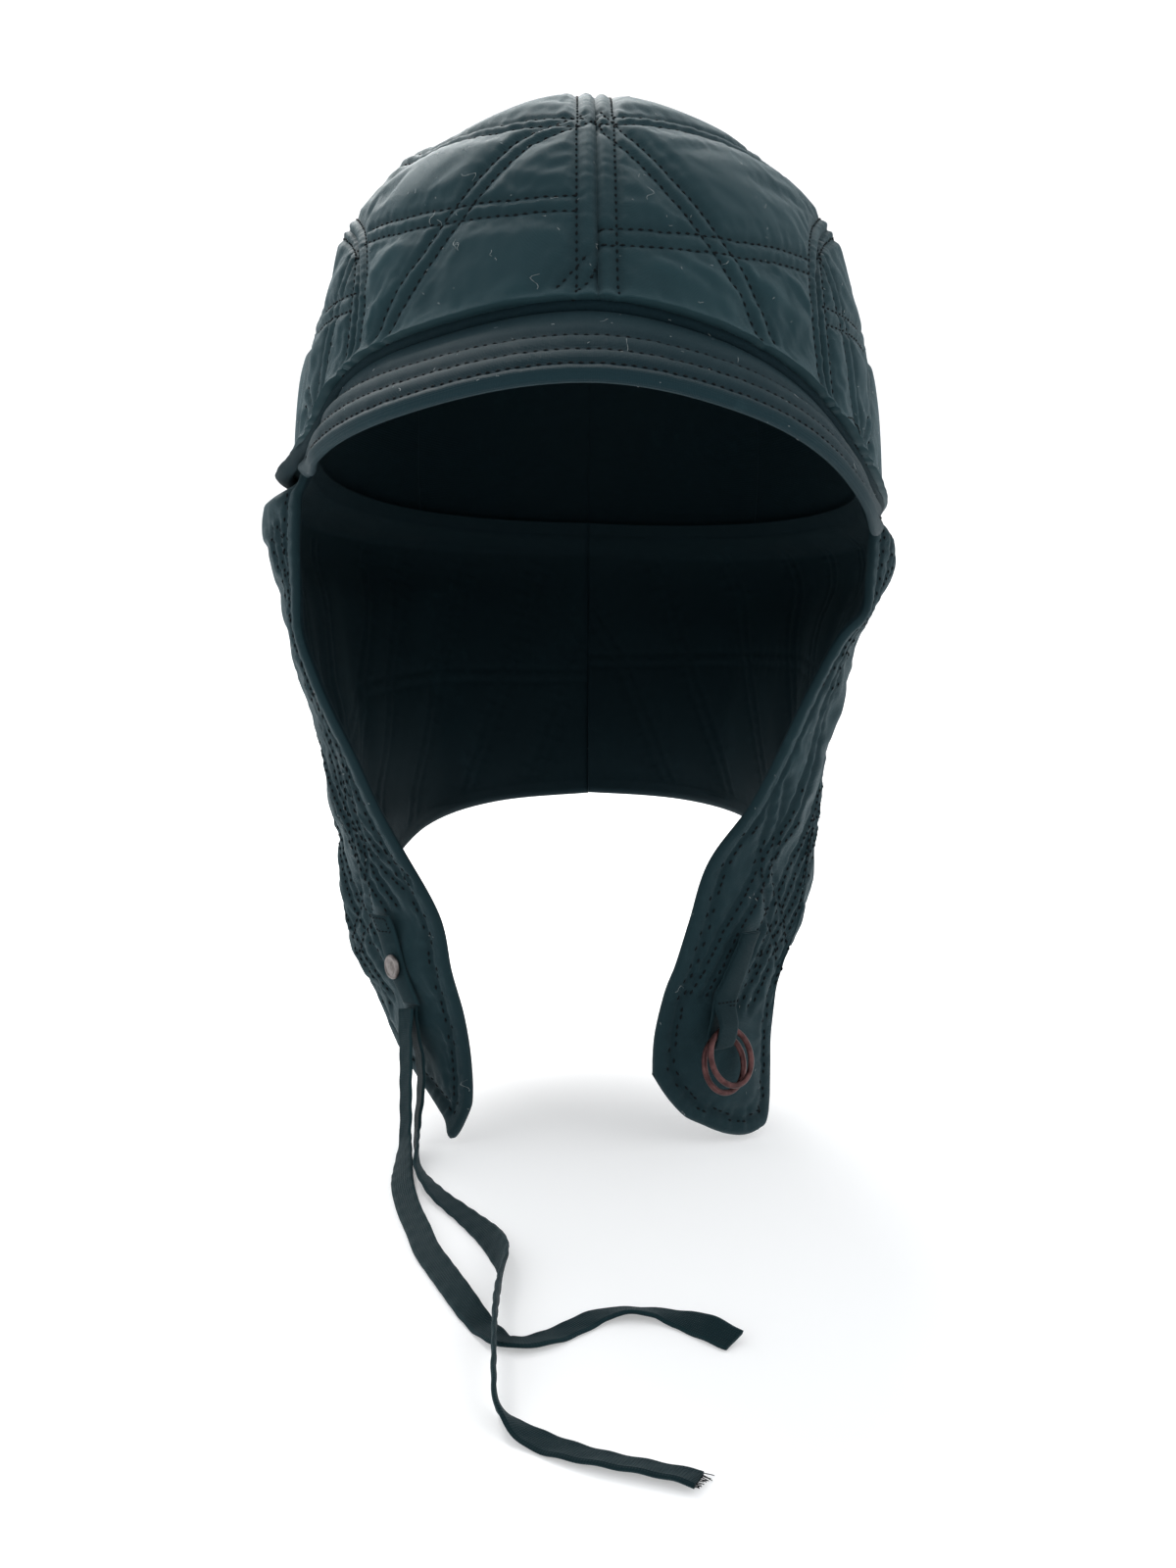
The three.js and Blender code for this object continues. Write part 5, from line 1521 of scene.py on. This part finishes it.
# %% Copies of a small shape
def laid_out(name, model, places, turns, reshape=lambda shape: shape[None]):
    """Copies a small model to every place, turned as asked there, as one piece."""
    array = model.modifiers.new("copies", "ARRAY")
    array.count, array.use_relative_offset = len(places), False
    mesh = bpy.data.meshes.new_from_object(model.evaluated_get(bpy.context.evaluated_depsgraph_get()))
    shape = np.array([corner.co for corner in model.data.vertices])
    shapes = np.broadcast_to(reshape(shape), (len(places), *shape.shape))
    corners = np.einsum("nij,nkj->nki", np.array(turns), shapes) + np.array(places)[:, None]
    mesh.vertices.foreach_set("co", corners.astype(np.float32).ravel())
    mesh.update()
    bpy.data.objects.remove(model)
    piece = bpy.data.objects.new(name, mesh)
    bpy.context.scene.collection.objects.link(piece)
    return piece


trial = laid_out("trial", stitch_shape(1.5, 0.7), np.zeros((3, 3)), [np.eye(3)] * 3)
print("three stitches have", len(trial.data.polygons), "faces")
bpy.data.meshes.remove(trial.data)

# %% [markdown]
# The stitches are laid along the same rows that pressed the padding down. Those rows lie on the
# surface that the cloth was made from, and the finished cloth is a little over or under it. So each
# stitch looks for the nearest place of the finished cloth and turns to lie flat on it, and none hangs
# over it or sinks out of sight.

# %% Sewing
def cloth_tree(carrier):
    cloth = bmesh.new()
    cloth.from_mesh(carrier.data)
    tree = BVHTree.FromBMesh(cloth)
    cloth.free()
    return tree


def sew(name, carrier, rows, pitch=2.5, length=1.5, width=0.7, slot="shell_fabric", reach=2.6):
    """Lays stitches along rows of places in mm, on the cloth that carries them."""
    tree = cloth_tree(carrier)
    places, turns = [], []
    for row in rows:
        steps = np.linalg.norm(np.diff(row, axis=0), axis=1)
        run = np.append(0, np.cumsum(steps))
        at = np.arange(pitch / 2, run[-1], pitch)
        spots = np.stack([np.interp(at, run, row[:, k]) for k in range(3)], -1)
        ahead = [np.interp(at + 0.6, run, row[:, k]) - np.interp(at - 0.6, run, row[:, k]) for k in range(3)]
        for spot, direction in zip(spots * MM, np.stack(ahead, -1)):
            found, normal, _, away = tree.find_nearest(Vector(spot))
            if found is None or away > reach * MM:
                continue
            along = Vector(direction) - normal * normal.dot(Vector(direction))
            if along.length < 1e-6:
                continue
            along.normalize()
            places.append(found + normal * 0.05 * MM)
            turns.append(Matrix((along, normal.cross(along), normal)).transposed())
    piece = laid_out(name, stitch_shape(length * MM, width * MM), places, turns)
    finish_piece(piece, dark_thread, slot)
    print("  ", len(places), "stitches")


quilted = ("right_crown_half", "left_crown_half", "right_ear_panel", "left_ear_panel")
for name in (*quilted, "peak_cloth", "left_flap", "right_flap"):
    sew(name + "_stitches", bpy.data.objects[name], sewn_rows[name])

# %% [markdown]
# The tabs are held down by finer thread. The snap tab has a small box of stitches at its top, the
# usual way to fasten a strap that is pulled at, and the ring tab has two rows close together right
# across it, above the loop.

# %% Stitches on the tabs
box = [(-137.4, -2.2), (-137.4, 2.2), (-141.2, 2.2), (-141.2, -2.2), (-137.4, -2.2)]
box_level, box_across = np.array(box).T
box_row = tab_spot(-1, snap_tab, box_level, box_across, np.full(5, 1.9))
cross_rows = [tab_spot(1, ring_tab, np.full(9, level), np.linspace(-3.4, 3.4, 9), np.full(9, 3.2))
              for level in (-159.4, -160.6)]
sew("snap_tab_cloth_stitches", bpy.data.objects["snap_tab_cloth"], [box_row], 1.25, 0.95, 0.45, "tab_fabric")
sew("ring_tab_cloth_stitches", bpy.data.objects["ring_tab_cloth"], cross_rows, 1.4, 1.1, 0.5, "tab_fabric")

# %% [markdown]
# In front of the wearer's left ear a short arc of thread tacks the crown's lip to the side panel. It has no
# row of its own to follow, so its points are given in the picture: a ray goes from the lens through a point
# of the picture, and the first cloth that it meets carries the thread. The picture is 1200 by 1600 pixels,
# and the lens stands as many pixels before it as its length says.

# %% The tack beside the rolled edge
carriers = [bpy.data.objects[name]
            for name in (*quilted, "rolled_edge", "peak_cloth", "left_flap", "right_flap")]
trees = [cloth_tree(carrier) for carrier in carriers]
view = camera.rotation_euler.to_matrix()
picture_width, picture_height = 1200, 1600
lens_pixels = picture_height * camera_data.lens / camera_data.sensor_width


def seen_on_cloth(px, py):
    """The place and the normal of the cloth behind a point of the picture."""
    ray = view @ Vector(((px - picture_width / 2) / lens_pixels, (picture_height / 2 - py) / lens_pixels, -1))
    hits = [tree.ray_cast(camera.location, ray) for tree in trees]
    return min((hit for hit in hits if hit[0] is not None), key=lambda hit: hit[3], default=None)


tack = [seen_on_cloth(px, py) for px, py in ((865, 426), (871, 429), (875.5, 435), (877.5, 443), (878, 455))]
tack_row = np.array([hit[0] for hit in tack if hit]) / MM
print("the tack runs from", np.round(tack_row[0], 1), "to", np.round(tack_row[-1], 1))
sew("tack_stitches", bpy.data.objects["left_ear_panel"], [tack_row], 0.9, 1.2, 0.45)

# %% [markdown]
# Dark nylon gathers pale lint, and the photograph shows a lot of it: short specks everywhere and some
# longer curled fibres. Each fibre is a thin four-sided rod. It gets its own length and bend, and lies
# on the cloth. Loose threads are made the same way.

# %% Fibres
fluff = Finish("lint")
fluff_place = fluff.node("ShaderNodeTexCoord", None, None, "Object")
shade = fluff.noise(fluff_place, 700.0, 2.0)
lint_tone = fluff.blend(fluff.spread(shade, 0.35, 0.65), (0.16, 0.19, 0.2, 1), (0.42, 0.45, 0.45, 1))
pale_lint = fluff.wear(base_color=lint_tone, roughness=fluff.spread(shade, 0.3, 0.7, 0.7, 0.85),
                       specular_ior_level=0.1)


def fibres(name, places, turns, lengths, widths, bends, material, slot):
    sizes = (lengths, widths, np.multiply(bends, lengths))
    length, width, bend = (np.asarray(size)[:, None] * MM for size in sizes)

    def reshape(shape):
        x, y, z = shape.T
        curl = bend * (2.4 * (x ** 2 - 0.1) + 0.5 * np.sin(6.283 * x))
        return np.stack([x * length * (1 - 0.25 * np.abs(bend / length)), y * width + curl, z * width], -1)

    piece = laid_out(name, new_piece("fibre", rod_body(4, 1, 1, 5)), places, turns, reshape)
    for face in piece.data.polygons:
        face.use_smooth = True
    finish_piece(piece, material, slot)
    print("  ", len(lengths), "fibres")


print("a fibre has", len(rod_body(4, 1, 1, 5).faces), "faces")

# %% [markdown]
# The specks are strewn at random, with a fixed seed, on the outer faces and in proportion to area.
# Most are under a millimetre long, and about one in eight is a longer bit of fibre.

# %% Specks of lint
specks_per_square_metre = 5200
chance = np.random.default_rng(11)
places, normals, lengths, bends = [], [], [], []
for carrier in carriers:
    polygons = carrier.data.polygons
    read = {}
    for key, size in (("center", 3), ("normal", 3), ("area", 1), ("material_index", 1)):
        read[key] = np.empty(len(polygons) * size, np.int32 if key == "material_index" else np.float32)
        polygons.foreach_get(key, read[key])
    area = read["area"] * (read["material_index"] == 0)
    chosen = chance.choice(len(area), int(area.sum() * specks_per_square_metre), p=area / area.sum())
    places += list(read["center"].reshape(-1, 3)[chosen])
    normals += list(read["normal"].reshape(-1, 3)[chosen])
strewn = len(places)
longer = chance.random(strewn) < 0.12
lengths += list(np.where(longer, chance.uniform(1.4, 3.2, strewn), chance.uniform(0.3, 1.0, strewn)))
bends += list(chance.uniform(-0.35, 0.35, strewn))
print(strewn, "specks")

# %% [markdown]
# The longer fibres that can be told apart lie where the photograph has them, each given by its point
# in the picture, its length in mm and its bend. A ray from the lens finds the place on the cloth.

# %% The fibres that stand out
picked = (
    (479, 179, 5.0, 0.5), (447, 226, 6.0, 0.25), (441, 222, 4.0, -0.3), (465, 249, 3.6, 0.4),
    (467, 251, 3.0, -0.3), (435, 278, 2.0, 0.1), (546, 287, 4.5, 0.5), (663, 198, 5.0, -0.4),
    (652, 179, 1.6, 0.1), (565, 202, 2.4, 0.5), (838, 247, 2.4, 0.3), (523, 346, 1.2, 0.1),
    (408, 397, 1.4, 0.2), (475, 1108, 4.0, 0.6), (693, 1009, 3.2, 0.4), (617, 327, 3.6, 0.1),
    (640, 352, 4.2, 0.05), (424, 195, 1.5, 0.1),
)
for px, py, length, bend in picked:
    seen = seen_on_cloth(px, py)
    if seen:
        places.append(np.array(seen[0]))
        normals.append(np.array(seen[1]))
        lengths.append(length)
        bends.append(bend)
places, normals = np.array(places), unit(np.array(normals))
along = unit(np.cross(normals, unit(chance.normal(size=places.shape))))
turns = np.stack([along, np.cross(normals, along), normals], -1)
widths = chance.uniform(0.07, 0.12, len(lengths))
fibres("lint", places + normals * 0.06 * MM, turns, lengths, widths, bends, pale_lint, "shell_fabric")

# %% [markdown]
# The cut end of the inner tie has frayed. Its loose threads start across the whole width of the tape,
# go on in its direction, and spread a little to the sides and upwards.

# %% The frayed end of a tie
loose_threads = 16
at, length = tie_route(inner_tie_table)
middle, wide, face = at(np.full(loose_threads, length - 0.4))
ahead = unit(at(np.full(loose_threads, length))[0] - at(np.full(loose_threads, length - 1.0))[0])
across, spread = np.linspace(-0.46, 0.46, loose_threads), chance.uniform(-0.5, 0.5, loose_threads)
along = unit(ahead + wide * spread[:, None] + face * chance.uniform(-0.05, 0.25, (loose_threads, 1)))
lengths = chance.uniform(1.2, 2.8, loose_threads)
places = (middle + wide * (across * tape["width"])[:, None] + along * (lengths * 0.35)[:, None]) * MM
sideways = unit(np.cross(face, along))
turns = np.stack([along, sideways, np.cross(along, sideways)], -1)
fibres("frayed_threads", places, turns, lengths, np.full(loose_threads, 0.16),
       chance.uniform(-0.2, 0.2, loose_threads), dark_thread, "tie_fabric")
